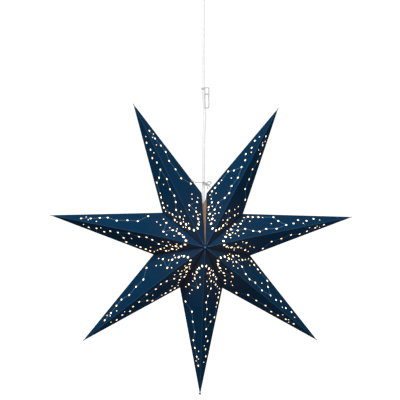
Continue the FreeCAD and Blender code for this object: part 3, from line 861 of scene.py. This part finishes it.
# %% Neck tabs
for side, number in (("left", LEFT_OF_SLIT), ("right", RIGHT_OF_SLIT)):
    tab = bpy.data.objects.new(side + "_tongue", frame["nodes"][side + "_neck_tab"].data.copy())
    bpy.context.scene.collection.objects.link(tab)
    tab.data.materials.clear()
    tab.data.materials.append(card_buff)
    open_up(tab)
    close_up()
    ends = [vertex.co.x for vertex in tab.data.vertices]
    outer, inner = (min(ends), max(ends)) if side == "left" else (max(ends), min(ends))
    for vertex in tab.data.vertices:
        vertex.co.x += NOTCH * SWING * (vertex.co.x - inner) / (outer - inner)
    modify(tab, "BEVEL", width=0.12 * MM, segments=2, limit_method="ANGLE", angle_limit=math.radians(50))
    smooth(tab)
    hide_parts(side + "_neck_tab")
    folding.append((tab, "upper_" + side, "fold_upper_" + side, arm_side(number)))
    print(tab.name, [round(v / MM, 1) for v in tab.dimensions])

# %% [markdown]
# All the folds meet in the middle, where the sheet is gathered and glued. The gathering breaks the print,
# so the very centre is a pale crumpled spot. The pale creases running out of it are painted on the arms'
# card along the ridges, as wear and painted highlight together. The spot is a small fan laid over the arms'
# inner ends, and its print gives way to grey unevenly.

# %% Finish: pinched card
card_pinched, tree, shader = new_finish("card_pinched", Roughness=0.7, Specular_IOR_Level=0.1)
spot = object_spot(tree)
fibre = use_group(tree, paper, {"Cloud Size": 260.0, "Fibre Size": 1200.0})
flat_spot = vector_math(tree, "MULTIPLY", spot, (1, 0, 1))["Vector"]
away = vector_math(tree, "DISTANCE", flat_spot, (HUB.x, 0, HUB.z))["Value"]
ragged = arithmetic(tree, "ADD", away, arithmetic(tree, "MULTIPLY", fibre["Clouds"], 3 * MM))
pale = ramp(tree, ragged, 2.4 * MM, 4.0 * MM, 1.0, 0.0)
print_blue = blended(tree, fibre["Clouds"], colour(0, 36, 62), colour(12, 60, 92))
two_colours(tree, shader, pale, print_blue, colour(126, 144, 158))
relief(tree, shader, fibre["Clouds"], 0.6, 0.8 * MM)
print("finish", card_pinched.name)

# %% [markdown]
# Each fan is a circle whose rim is moved on to the seven ridges and the eight valley lines
# between and beside them, and whose middle is moved out to the point where the folds meet.

# %% Pinched centres
rim = []
for number in range(7):
    turn = arm_turn(number)
    rim += [(turn - half_pitch, 5.0, NOTCH), (turn, 6.0, TIP)]
rim.append((arm_turn(LEFT_OF_SLIT) + half_pitch, 5.0, NOTCH))
for name, node, side in (("front_pinch", "front_centre_seal", -1), ("back_pinch", "back_centre_seal", 1)):
    let_go()
    bpy.ops.mesh.primitive_circle_add(vertices=len(rim), radius=1, fill_type="TRIFAN")
    pinch = named(name)
    outer = [v for v in pinch.data.vertices if v.co.length > 0.5]
    outer.sort(key=lambda v: math.atan2(v.co.y, v.co.x))
    for vertex, (turn, away_out, fold_end) in zip(outer, rim):
        lift_off = side * (DEPTH * (1 - away_out * MM / fold_end) + 0.1 * MM)
        outwards = Vector((math.sin(turn), 0, math.cos(turn)))
        vertex.co = HUB + outwards * away_out * MM + Vector((0, lift_off, 0))
    tip = next(v for v in pinch.data.vertices if v not in outer)
    tip.co = HUB + Vector((0, side * 75.2 * MM, 0))
    pinch.data.materials.append(card_pinched)
    open_up(pinch)
    bpy.ops.mesh.select_all(action="SELECT")
    bpy.ops.mesh.subdivide(number_cuts=2)
    bpy.ops.mesh.normals_make_consistent(inside=False)
    bpy.ops.object.mode_set(mode="OBJECT")
    if sum(face.normal.y for face in pinch.data.polygons) * side < 0:
        pinch.data.flip_normals()
    modify(pinch, "SOLIDIFY", thickness=CARD, offset=-1)
    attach(pinch, "lamp")
    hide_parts(node)
    print(name, [round(v / MM, 1) for v in pinch.dimensions])

# %% [markdown]
# At each tip the folds are too tight to stay card: they are pinched into a thin stem, whose
# print has rubbed off to grey. The bottom one ends in a small bead of dark glue.

# %% Tip stems
def rubbed_grey(name, first, second):
    """Print rubbed off by pinching: two greys in small patches, matt."""
    finish, tree, shader = new_finish(name, Specular_IOR_Level=0.2)
    grain = uneven_sheen(tree, shader, 400.0, 1500.0, 0.6, 0.85)
    two_colours(tree, shader, grain["Patches"], first, second)
    return finish


stem_grey = rubbed_grey("stem_grey", colour(96, 100, 104), colour(168, 168, 164))
bead_grey = rubbed_grey("bead_grey", colour(48, 52, 56), colour(92, 94, 96))
STEM = ((0.8, 287), (1.35, 291), (1.15, 294), (0.8, 296), (0.95, 298), (0.7, 299.4), (0.3, 299.8))
stem = turned("stem", STEM, sides=10)
stem.data.materials.append(stem_grey)
smooth(stem, 50)
for number, (arm, body, joint, sway, stretch) in enumerate(ARMS):
    piece = place_arm(stem, "stem_" + arm, number)
    if arm == "bottom":
        piece.data.materials[0] = bead_grey
    folding.append((piece, body, joint, arm_side(number)))
bpy.data.objects.remove(stem)
print("stems", len(ARMS))

# %% [markdown]
# The bead is a ball drawn in a little at its lower end. It hangs slightly to the side of the
# bottom arm's line, as the glue ran.

# %% Bead at the bottom tip
let_go()
bottom_turn = arm_turn(BOTTOM) - math.radians(0.35)
bottom_way = Vector((math.sin(bottom_turn), 0, math.cos(bottom_turn)))
bpy.ops.mesh.primitive_uv_sphere_add(segments=16, ring_count=10, radius=2.2 * MM,
                                     location=HUB + bottom_way * 297.7 * MM)
bead = named("bottom_bead")
bead.scale = (1, 0.9, 0.95)
settle(bead)
open_up(bead, "VERT")
pick("VERT", lambda p: p.z < HUB.z - 299.2 * MM)
bpy.ops.transform.resize(value=(0.7, 0.7, 1))
close_up()
bead.data.materials.append(bead_grey)
smooth(bead, 60)
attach(bead, "lamp")
bead_foot = min(v.co.z for v in bead.data.vertices)
print("bead's lowest point, mm below the hub", round((HUB.z - bead_foot) / MM, 1))

# %% [markdown]
# A short cotton string ties the two end arms together across the slit and finishes in a bow.
# It is soft thread, a fixed 38 mm from its knot on the left arm to its end on the right one,
# and it stands a little forward of the slit. It is a smooth spline whose points are given in
# millimetres from the hub's axis: how far right, how far back and how far up.

# %% Tie string
TIE = ((-20.5, -2.0, 119.0), (-9.0, -6.5, 118.0), (1.0, -7.2, 117.2), (8.6, -5.8, 114.2),
       (13.6, -3.4, 108.8))
STRING_WIDTH = 1.6 * MM


def from_hub(points):
    """Points in metres from millimetres right of the cable's line, back, and up from the hub."""
    return [HUB + Vector((x - HUB.x / MM, y, z)) * MM for x, y, z in points]


def moved(points, right, up):
    """The same points, shifted in millimetres."""
    return [(x + right, y, z + up) for x, y, z in points]


def mesh_of(piece):
    """Turns a curve piece into a mesh."""
    hold(piece)
    bpy.ops.object.convert(target="MESH")
    return bpy.context.object


def centre_line(cord):
    """The points along a cord, read from its spline with no thickness."""
    width, cord.data.bevel_depth = cord.data.bevel_depth, 0
    line = bpy.data.meshes.new_from_object(cord)
    cord.data.bevel_depth = width
    points = [tuple(v.co) for v in line.vertices]
    bpy.data.meshes.remove(line)
    return points


string = spline_cord("tie_thread", from_hub(TIE), STRING_WIDTH)
string_line = centre_line(string)
string = mesh_of(string)
print("string", len(string_line), "points along it")

# %% [markdown]
# The bow has two loops, one loose end and a knot, and each is a piece of the same thread. Tied
# thread spreads, so the loops are thicker than the string, and the knot, which is the thread
# wound round and drawn tight, is thicker still. The four are joined into one mesh.

# %% Bow
RIGHT_LOOP = ((4.5, -9.2, 113.0), (6.5, -10.0, 116.2), (10.5, -9.8, 118.2), (14.2, -9.2, 116.4),
              (13.4, -9.0, 112.8), (8.8, -9.5, 111.6), (4.5, -9.5, 112.8))
LEFT_LOOP = ((4.5, -9.2, 113.0), (2.4, -10.1, 115.6), (-0.6, -10.3, 117.4), (-2.6, -9.9, 115.4),
             (-0.8, -9.7, 112.8), (2.8, -9.9, 112.2), (4.5, -9.5, 113.2))
LOOSE_END = ((4.5, -9.3, 112.8), (5.4, -10.1, 110.6), (7.6, -10.3, 108.4), (6.8, -10.1, 105.4),
             (8.0, -9.9, 102.8))
KNOT_TURN = ((3.0, -7.8, 112.4), (3.6, -10.4, 114.8), (5.6, -10.4, 114.2), (6.3, -9.0, 112.2),
             (4.8, -7.4, 110.9), (3.2, -9.4, 111.3), (4.2, -10.6, 113.2), (6.0, -9.6, 113.2))
BOW_RIGHT, BOW_UP = 0.5, 2.2     # what lifts the bow on to the string
bow_parts = []
for points, thicker in ((RIGHT_LOOP, 1.3), (LEFT_LOOP, 1.3), (LOOSE_END, 1.1), (KNOT_TURN, 1.6)):
    thread_line = from_hub(moved(points, BOW_RIGHT, BOW_UP))
    bow_parts.append(mesh_of(spline_cord("bow_part", thread_line, STRING_WIDTH * thicker, 3)))
bow = joined("tie_bow_knotted", *bow_parts)
print("bow", [round(v / MM, 1) for v in bow.dimensions], "mm")

# %% [markdown]
# On the left arm the string starts from a small knot of its own: one tight ring, turned
# aslant, whose upper half is drawn out a little.

# %% Knot at the string's start
let_go()
bpy.ops.mesh.primitive_torus_add(major_segments=20, minor_segments=8, major_radius=1.5 * MM,
                                 minor_radius=0.9 * MM, location=from_hub(((-20.4, -2.4, 120.2),))[0],
                                 rotation=(0.5, 0.9, 0))
end_knot = settle(named("end_knot"))
open_up(end_knot)
pick("FACE", lambda p: p.z > from_hub(((0, 0, 120.6),))[0].z)
bpy.ops.transform.resize(value=(1.25, 1.1, 1.2))
close_up()
print("knot", [round(v / MM, 1) for v in end_knot.dimensions], "mm")

# %% [markdown]
# Cotton is matt and off-white, and its strands lie in slanting bands. The bands are a wave that raises the
# thread. Their darker colour is painted shade in the grooves between the strands, and it also greys the
# small bow and knot as painted shade. A soft sheen stands for its loose fibres. The string, the bow and the
# knot all go with the upper left arm when the star folds.

# %% Finish: cotton
cotton, tree, shader = new_finish("cotton", Roughness=0.9, Specular_IOR_Level=0.1, Sheen_Weight=0.3)
strands = add_node(tree, "ShaderNodeTexWave",
                   {"Scale": 420.0, "Distortion": 2.0, "Detail": 2.0, "Vector": object_spot(tree)},
                   bands_direction="DIAGONAL").outputs[1]
# the darker colour is painted shade in the grooves between the strands
two_colours(tree, shader, strands, colour(176, 174, 175), colour(230, 228, 227))
relief(tree, shader, strands, 0.7, 0.3 * MM)
for piece in (string, bow, end_knot):
    piece.data.materials.append(cotton)
    folding.append((piece, "upper_left", "fold_upper_left", arm_side(LEFT_OF_SLIT)))
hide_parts("tie_string")
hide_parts("tie_bow")
for piece in (bow, end_knot, string):
    smooth(piece, 60)
print("finish", cotton.name)

# %% [markdown]
# The cord clip is a small clear moulding that slides on the cable and lets it be looped
# shorter. A short ring holds the cable. Beside it hangs a flat plate with two openings: a small
# one at the top and a long one with a round end below. The plate starts as a flat rectangle,
# is split in two, inset for its openings and rounded at its corners, then thickened.

# %% Cord clip's plate
clip_low, clip_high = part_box("cord_clip")
plate_left, plate_right = 2.0 * MM, clip_high.x - 1.0 * MM
plate_wide, plate_tall = plate_right - plate_left, clip_high.z - clip_low.z
let_go()
bpy.ops.mesh.primitive_plane_add(size=1)
plate = named("clip_plate")
plate.scale = (plate_wide, plate_tall, 1)
settle(plate)
open_up(plate)
bpy.ops.mesh.select_all(action="SELECT")
bpy.ops.mesh.bisect(plane_co=(0, 0.17 * plate_tall, 0), plane_no=(0, 1, 0))
bpy.ops.mesh.select_mode(type="FACE")
bpy.ops.mesh.select_all(action="SELECT")
bpy.ops.mesh.inset(thickness=1.9 * MM, use_individual=True)
pick("FACE", lambda p: abs(p.x) < 0.1 * MM and (abs(p.y + 0.165 * plate_tall) < 1.2 * MM
                                                or abs(p.y - 0.335 * plate_tall) < 1.2 * MM))
bpy.ops.mesh.delete(type="FACE")
pick("VERT", lambda p: p.y < -0.5 * plate_tall + 0.1 * MM)
bpy.ops.mesh.bevel(offset=4.4 * MM, offset_type="OFFSET", segments=6, affect="VERTICES")
pick("VERT", lambda p: -0.5 * plate_tall + 1.7 * MM < p.y < -0.5 * plate_tall + 2.2 * MM
     and 1.5 * MM < abs(p.x) < 3.4 * MM)
bpy.ops.mesh.bevel(offset=2.5 * MM, offset_type="OFFSET", segments=5, affect="VERTICES")
pick("VERT", lambda p: p.y > 0.5 * plate_tall - 0.1 * MM)
bpy.ops.mesh.bevel(offset=2.2 * MM, offset_type="OFFSET", segments=4, affect="VERTICES")
close_up()
modify(plate, "SOLIDIFY", thickness=2.2 * MM, offset=0)
modify(plate, "BEVEL", width=0.55 * MM, segments=3, limit_method="ANGLE", angle_limit=math.radians(50))
plate.rotation_euler = (math.radians(90), 0, 0)
plate.location = ((plate_left + plate_right) / 2, -1.3 * MM, (clip_low.z + clip_high.z) / 2)
settle(plate)
print("plate", round(plate_wide / MM, 1), "by", round(plate_tall / MM, 1), "mm")

# %% [markdown]
# The ring is turned, with its bore a little wider than the cable so that it slides, its edges
# eased and its outside slightly waisted. It is joined to the plate's top as one moulding.

# %% Cord clip's ring
bore, outer = 3.05, 3.75
foot, head = clip_high.z / MM - 4.2, clip_high.z / MM - 0.2
CLIP_RING = ((bore, foot + 0.4), (bore + 0.2, foot), (outer - 0.2, foot), (outer, foot + 0.5),
             (outer - 0.15, (foot + head) / 2), (outer, head - 0.5), (outer - 0.2, head),
             (bore + 0.2, head), (bore, head - 0.4))
guide = turned("clip_ring", CLIP_RING, sides=32, loop=True)
clip = joined("clear_clip", plate, guide)
smooth(clip, 40)
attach(clip, "clip")
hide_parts("cord_clip")
print("clip", [round(v / MM, 1) for v in clip.dimensions], "mm")

# %% [markdown]
# The moulding is clear but not like glass: it lets some of the light through and looks milky.
# The mould leaves it unevenly polished, with faint ripples that follow the same patches.

# %% Finish: clear plastic
clear_plastic, tree, shader = new_finish("clear_plastic", IOR=1.46, Transmission_Weight=0.2)
grain = uneven_sheen(tree, shader, 220.0, 900.0, 0.16, 0.34)
two_colours(tree, shader, grain["Patches"], colour(202, 204, 206), colour(222, 224, 226))
relief(tree, shader, grain["Patches"], 0.15, 0.4 * MM)
clip.data.materials.append(clear_plastic)
print("finish", clear_plastic.name)

# %% [markdown]
# The lampholder is white moulded plastic: a collar that grips the cable, a domed cap, and a
# body screwed to it. The collar and the cap are turned. The cap is a thin shell, so its
# profile runs up the outside of the dome and back down the inside.

# %% Lampholder's collar and cap
grip_low, grip_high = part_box("cord_grip")
cap_low, cap_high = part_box("holder_cap")
body_low, body_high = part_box("holder_body")


def heights(low, high):
    """A box's foot and head, in millimetres."""
    return low.z / MM, high.z / MM


foot, head = heights(grip_low, grip_high)
COLLAR = ((2.8, foot), (4.9, foot), (4.9, foot + 2.4), (4.2, foot + 3.2), (4.4, foot + 4.0),
          (3.9, head - 1.0), (3.3, head), (2.8, head))
collar = turned("cord_collar", COLLAR, sides=32, loop=True)
foot, head = heights(cap_low, cap_high)
DOME = ((12.3, foot), (13.9, foot), (13.9, foot + 2.6), (13.3, foot + 4.4), (11.6, foot + 7.4),
        (9.4, foot + 10.0), (7.8, head - 1.4), (7.2, head - 0.3), (6.4, head), (5.3, head),
        (5.3, head - 2.4), (7.4, foot + 9.6), (10.4, foot + 6.2), (12.2, foot + 3.0))
cap = turned("holder_dome", DOME, sides=48, loop=True)
print("cap", [round(v / MM, 1) for v in cap.dimensions])

# %% [markdown]
# The body is a tube with two raised bands, and its upper band is ribbed for the fingers. Every
# other side of that band is pressed in, which leaves the sides between them as the ribs.

# %% Lampholder's body
SKIRT_SIDES = 48
foot, head = heights(body_low, body_high)
SKIRT = ((12.4, head), (12.4, foot), (13.1, foot), (13.9, foot + 0.8), (13.9, foot + 6),
         (13.3, foot + 6.6), (13.3, head - 14), (13.9, head - 13), (13.9, head - 4),
         (13.3, head - 3.4), (13.3, head))
skirt = turned("holder_skirt", SKIRT, sides=SKIRT_SIDES, loop=True)


def is_groove(p):
    """Whether a face's middle lies outside, on the upper band, on one of its odd sides."""
    side = math.degrees(math.atan2(p.y, p.x)) * SKIRT_SIDES / 360 - 0.5
    on_band = (head - 13) * MM < p.z < (head - 4) * MM and math.hypot(p.x, p.y) > 13.3 * MM
    return on_band and int(round(side)) % 2


open_up(skirt)
grooves = pick("FACE", is_groove)
bpy.ops.mesh.inset(thickness=0.12 * MM, depth=-0.5 * MM, use_individual=True)
close_up()
print("holder grooves", grooves)

# %% [markdown]
# Moulded plastic is nearly even in colour. Hands leave its gloss a little uneven, and the
# mould leaves a very fine tooth.

# %% Finish: holder plastic
holder_plastic = grained("holder_plastic", (colour(228, 228, 224), colour(242, 242, 238)), (0.28, 0.42),
                         70.0, 1400.0, 0.08, 0.3 * MM, Specular_IOR_Level=0.45)
for piece, node in ((collar, "cord_grip"), (cap, "holder_cap"), (skirt, "holder_body")):
    piece.data.materials.append(holder_plastic)
    smooth(piece, 30)
    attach(piece, "lamp")
    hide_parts(node)
print("holder", [round(v / MM, 1) for v in skirt.dimensions])

# %% [markdown]
# The bulb is an opal globe 45 mm across that narrows to a neck and sits in a screw base. The
# glass is turned from its outline, with rings close together so that it stays round. The base
# is turned too, with four rolled rings for its thread.

# %% Bulb
globe_low, globe_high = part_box("bulb_globe")
globe_wide = (globe_high.x - globe_low.x) / 2 / MM
globe_foot, globe_top = heights(globe_low, globe_high)
globe_middle = globe_foot + globe_wide
NECK = 6.9
outline = [(0.6, globe_foot + 0.02)]
for step in range(1, 17):
    slope = math.radians(-90 + step * 8.4)
    outline.append((globe_wide * math.cos(slope), globe_middle + globe_wide * math.sin(slope)))
last_radius, last_height = outline[-1]
for share in (0.25, 0.5, 0.75, 1.0):
    bend = math.sin(share * math.pi / 2)
    outline.append((last_radius + (NECK - last_radius) * bend,
                    last_height + (globe_top - last_height) * share))
globe = turned("opal_globe", tuple(outline), sides=48)
base_low, base_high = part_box("bulb_base")
foot, head = heights(base_low, base_high)
thread = [(6.4, foot + 0.1), (6.6, foot + 1.0)]
for turn in range(4):
    start = foot + 2.0 + turn * 3.0
    thread += [(6.1, start), (6.3, start + 0.7), (6.68, start + 1.5), (6.3, start + 2.3)]
thread += [(6.1, head - 1.4), (5.2, head - 0.5), (4.2, head - 0.1)]
base = turned("rolled_base", tuple(thread), sides=40)
print("globe", [round(v / MM, 1) for v in globe.dimensions])

# %% [markdown]
# Opal glass is lit from inside, so it gives off a warm light of its own. It is brightest round
# its middle, where the lamp inside is, and dimmer and more amber above and below.

# %% Finish: opal glass
bulb_opal, tree, shader = new_finish("bulb_opal", Roughness=0.35, IOR=1.5, Emission_Strength=2.6)
grain = use_group(tree, uneven, {"Patch Size": 90.0, "Tooth Size": 900.0, "Smoothest": 0.3,
                                 "Roughest": 0.45})
from_middle = arithmetic(tree, "ABSOLUTE", arithmetic(tree, "SUBTRACT", object_axis(tree, 2), BULB.z))
dimmer = ramp(tree, from_middle, 8 * MM, 26 * MM, 0.0, 1.0)
lamplight = blended(tree, dimmer, (1.0, 0.86, 0.62, 1), (0.9, 0.66, 0.38, 1))
tree.links.new(lamplight, shader.inputs["Emission Color"])
two_colours(tree, shader, grain["Patches"], colour(246, 240, 226), colour(252, 248, 238))
print("finish", bulb_opal.name)

# %% [markdown]
# Metals and mouldings differ only in colour, polish and tooth, so one helper makes every metal
# and another every plastic, ceramic or painted part. The first use is the bulb's steel base.

# %% Finishes: metals and mouldings
def metal(name, first, second, smoothest, roughest, patch_size=60.0):
    """A metal finish."""
    return grained(name, (first, second), (smoothest, roughest), patch_size, 1600.0, 0.15, 0.2 * MM,
                   Metallic=1.0)


def moulding(name, first, second, smoothest, roughest, patch_size=60.0, tooth_depth=0.1):
    """A plastic, ceramic or painted finish."""
    return grained(name, (first, second), (smoothest, roughest), patch_size, 1300.0, tooth_depth, 0.3 * MM,
                   Specular_IOR_Level=0.45)


base_steel = metal("base_steel", colour(178, 178, 182), colour(206, 206, 208), 0.2, 0.38)
for piece, node, finish, slot in ((globe, "bulb_globe", bulb_opal, "bulb_glass"),
                                  (base, "bulb_base", base_steel, "base_steel")):
    piece.data.materials.append(finish)
    smooth(piece, 50)
    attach(piece, "bulb")
    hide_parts(node)
print("finish", base_steel.name)

# %% [markdown]
# The ceiling cup is a deep-drawn steel bowl, powder-coated white, that hides the wiring. Its
# bottom edge is rounded by the drawing, and its open rim is turned over a little. Below it the
# cable leaves through a ribbed plastic gland, whose wide mouth lets the lamp swing.

# %% Ceiling cup and gland
cup_low, cup_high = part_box("ceiling_cup")
cup_out, cup_foot = cup_high.x / MM, cup_low.z / MM
CORNER, WALL = 8, 1.5     # the bottom edge's outer radius, and how thick the bowl is


def rounded(radius, degrees):
    """Points round the bottom edge's own middle, from the wall's side at 0 to the floor's at 90."""
    return [(cup_out - CORNER + radius * math.cos(math.radians(a)),
             cup_foot + CORNER - radius * math.sin(math.radians(a))) for a in degrees]


rim_outside = [(cup_out - 0.6, -0.05), (cup_out, -0.7), (cup_out, -2.2), (cup_out - 0.35, -3.0)]
wall_foot = [(cup_out - 0.35, cup_foot + 12)]
cable_hole = [(14, cup_foot), (12, cup_foot + 0.5), (6.2, cup_foot + 0.5), (6.2, cup_foot + 1.5)]
rim_inside = [(cup_out - WALL, -0.05)]
cup_profile = (rim_outside + wall_foot + rounded(CORNER, range(0, 91, 15)) + cable_hole
               + rounded(CORNER - WALL, range(90, -1, -15)) + rim_inside)
cup = turned("drawn_cup", tuple(cup_profile), sides=72, loop=True)

GLAND = ((3.4, -42.0), (5.6, -42.0), (5.9, -42.5), (5.9, -50.0), (8.2, -50.0), (9.0, -50.8),
         (9.0, -52.4), (8.5, -52.8), (8.5, -53.6), (9.0, -54.0), (9.0, -55.4), (8.5, -55.8),
         (8.5, -56.6), (9.0, -57.0), (9.0, -58.2), (8.4, -60.0), (7.2, -61.5), (6.4, -61.95),
         (5.4, -61.8), (4.8, -60.4), (4.6, -58.4), (6.4, -57.6), (6.4, -52.4), (3.4, -51.6))
gland = turned("ribbed_gland", GLAND, sides=48, loop=True)

cup_white = moulding("cup_white", colour(224, 224, 219), colour(236, 236, 231), 0.36, 0.5, 30.0, 0.3)
gland_plastic = moulding("gland_plastic", colour(226, 226, 222), colour(238, 238, 234), 0.3, 0.45, 120.0)
for piece, node, finish, slot in ((cup, "ceiling_cup", cup_white, "cup_metal"),
                                  (gland, "cup_gland", gland_plastic, "gland_plastic")):
    piece.data.materials.append(finish)
    smooth(piece, 32)
    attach(piece, "ceiling_mount")
    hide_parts(node)
print("cup", [round(v / MM, 1) for v in cup.dimensions])

# %% [markdown]
# The cable's white jacket is soft plastic: satin, faintly pitted from the extruder, and a
# little greyer in patches where it has been handled. Light soaks slightly into it. A weak
# white glow stands for the light that white surroundings throw on it from every side.

# %% Finish: cable jacket
cable_white = grained("cable_white", (colour(194, 194, 193), colour(206, 206, 205)), (0.35, 0.5),
                      35.0, 1500.0, 0.1, 0.2 * MM, Specular_IOR_Level=0.4, Subsurface_Weight=0.15,
                      Subsurface_Radius=(0.004, 0.004, 0.004), Subsurface_Scale=1.0,
                      Emission_Color=(1, 1, 1, 1), Emission_Strength=0.33)
cable.data.materials.append(cable_white)
print("finish", cable_white.name)

# %% [markdown]
# The frame's own pieces whose shape is right stay as they are and only get a finish: the
# steel strap and screws, the terminal block and its wires, and the metal, ceramic and glass
# inside the lampholder and the bulb.

# %% Finishes for the frame's own pieces
zinc = metal("zinc_steel", colour(150, 152, 156), colour(178, 180, 183), 0.3, 0.5, 90.0)
brass = metal("brass", colour(184, 150, 84), colour(208, 176, 108), 0.22, 0.4)
ceramic = moulding("ceramic", colour(226, 222, 212), colour(240, 237, 228), 0.2, 0.36, 80.0)
block = moulding("block_plastic", colour(206, 203, 192), colour(222, 219, 209), 0.45, 0.62, 70.0, 0.2)
black_glass = moulding("black_glass", colour(14, 14, 16), colour(30, 30, 34), 0.08, 0.2, 120.0)
print("finishes", [finish.name for finish in (zinc, brass, ceramic, block, black_glass)])

# %% [markdown]
# The two wires' jackets are told apart by side, blue on the left and brown on the right, and
# both are a little dusty in patches. The bulb's stem is clear glass, faintly uneven.

# %% Finishes: wire jackets and clear glass
wire, tree, shader = new_finish("wire_jacket", Specular_IOR_Level=0.4)
grain = uneven_sheen(tree, shader, 90.0, 1500.0, 0.3, 0.45)
right_side = arithmetic(tree, "GREATER_THAN", object_axis(tree, 0), 0.0)
jacket = blended(tree, right_side, colour(38, 84, 168), colour(106, 62, 36))
dusty = arithmetic(tree, "MULTIPLY", grain["Patches"], 0.3)
two_colours(tree, shader, dusty, jacket, colour(150, 140, 130))

stem_glass, tree, shader = new_finish("stem_glass", IOR=1.5, Transmission_Weight=0.6)
grain = uneven_sheen(tree, shader, 200.0, 900.0, 0.05, 0.15)
two_colours(tree, shader, grain["Patches"], colour(226, 232, 232), colour(245, 248, 248))
print("finishes", wire.name, "and", stem_glass.name)

# %% [markdown]
# Each of the frame's pieces that shows or lies inside takes one of the finishes, in place of
# the plain one that it came with.

# %% Dress the frame's own pieces
DRESS = {
    "ceiling_bracket": zinc, "cup_screws": zinc, "terminal_block": block, "gland_nut": gland_plastic,
    "cable_tail": cable_white, "cord_clamp": gland_plastic, "lead_wires": wire,
    "swivel_ring": gland_plastic, "socket_insert": ceramic, "screw_shell": brass,
    "centre_contact": brass, "bulb_tip_contact": base_steel, "bulb_insulator": black_glass,
    "bulb_stem": stem_glass,
}
for node, finish in DRESS.items():
    piece = frame["nodes"][node]
    piece.data.materials.clear()
    piece.data.materials.append(finish)
print("dressed", len(DRESS), "nodes")

# %% [markdown]
# The star hangs over a pale floor, far below it. The floor looks white where it is seen, but
# that white lights nothing: only what the lights throw on the floor comes back up.

# %% Floor
FLOOR_BELOW = 2.2
floor_pale, tree, shader = new_finish("floor_pale", Roughness=0.8, Base_Color=(0.7, 0.7, 0.7, 1),
                                      Emission_Color=(1, 1, 1, 1))
seen = add_node(tree, "ShaderNodeLightPath").outputs["Is Camera Ray"]
tree.links.new(arithmetic(tree, "MULTIPLY", seen, 0.95), shader.inputs["Emission Strength"])
let_go()
bpy.ops.mesh.primitive_plane_add(size=60, location=(0, 0, frame_box[0].z - FLOOR_BELOW))
floor = settle(named("floor"))
floor.data.materials.append(floor_pale)
print("floor at", round(floor.data.vertices[0].co.z, 2))

# %% [markdown]
# Behind the star is plain white. The surroundings are bright where they are seen and dim as a
# light, so that the arms' shaded panels stay dark.

# %% White surroundings
ROOM_LIGHT, ROOM_SEEN = 0.26, 1.05
world = bpy.data.worlds.new("white room")
bpy.context.scene.world = world
world.use_nodes = True
room = world.node_tree
room.nodes.clear()
seen = add_node(room, "ShaderNodeLightPath").outputs["Is Camera Ray"]
strength = ramp(room, seen, 0.0, 1.0, ROOM_LIGHT, ROOM_SEEN)
sky = add_node(room, "ShaderNodeBackground", {0: (1, 1, 1, 1), 1: strength})
room.links.new(sky.outputs[0], add_node(room, "ShaderNodeOutputWorld").inputs[0])
bpy.context.scene.view_settings.view_transform = "Standard"
print("room lights at", ROOM_LIGHT, "and looks", ROOM_SEEN)

# %% [markdown]
# A large soft light stands above and in front, a little to the left, and lights each arm's
# upper panel. A weaker one on the right keeps the lower panels from going black, and one behind
# lights the back. The lamp itself is a warm light as large as its globe, inside the star.

# %% Lights
def light(name, kind, place, power):
    """A light at its place, in metres, with its power in watts."""
    lamp = bpy.data.objects.new(name, bpy.data.lights.new(name, kind))
    bpy.context.scene.collection.objects.link(lamp)
    lamp.location = place
    lamp.data.energy = power
    return lamp


def soft_light(name, place, size, power):
    """A round soft light, turned to the hub."""
    lamp = light(name, "AREA", place, power)
    lamp.data.shape = "DISK"
    lamp.data.size = size
    lamp.rotation_euler = (HUB - Vector(place)).to_track_quat("-Z", "Y").to_euler()


inside = light("bulb_light", "POINT", BULB, 0.9)
inside.data.color, inside.data.shadow_soft_size = (1.0, 0.8, 0.55), 0.0236
soft_light("high_left", (-0.7, -1.3, 1.0), 0.9, 41)
soft_light("low_right", (1.4, -1.6, -0.5), 1.2, 8)
soft_light("behind", (0.9, 2.2, 1.1), 1.2, 26)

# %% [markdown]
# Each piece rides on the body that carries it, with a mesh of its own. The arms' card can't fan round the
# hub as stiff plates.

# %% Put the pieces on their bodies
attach(cable, "cable")
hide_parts("power_cable")
for piece, body, joint, side in folding:
    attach(piece, body)
    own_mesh(piece)
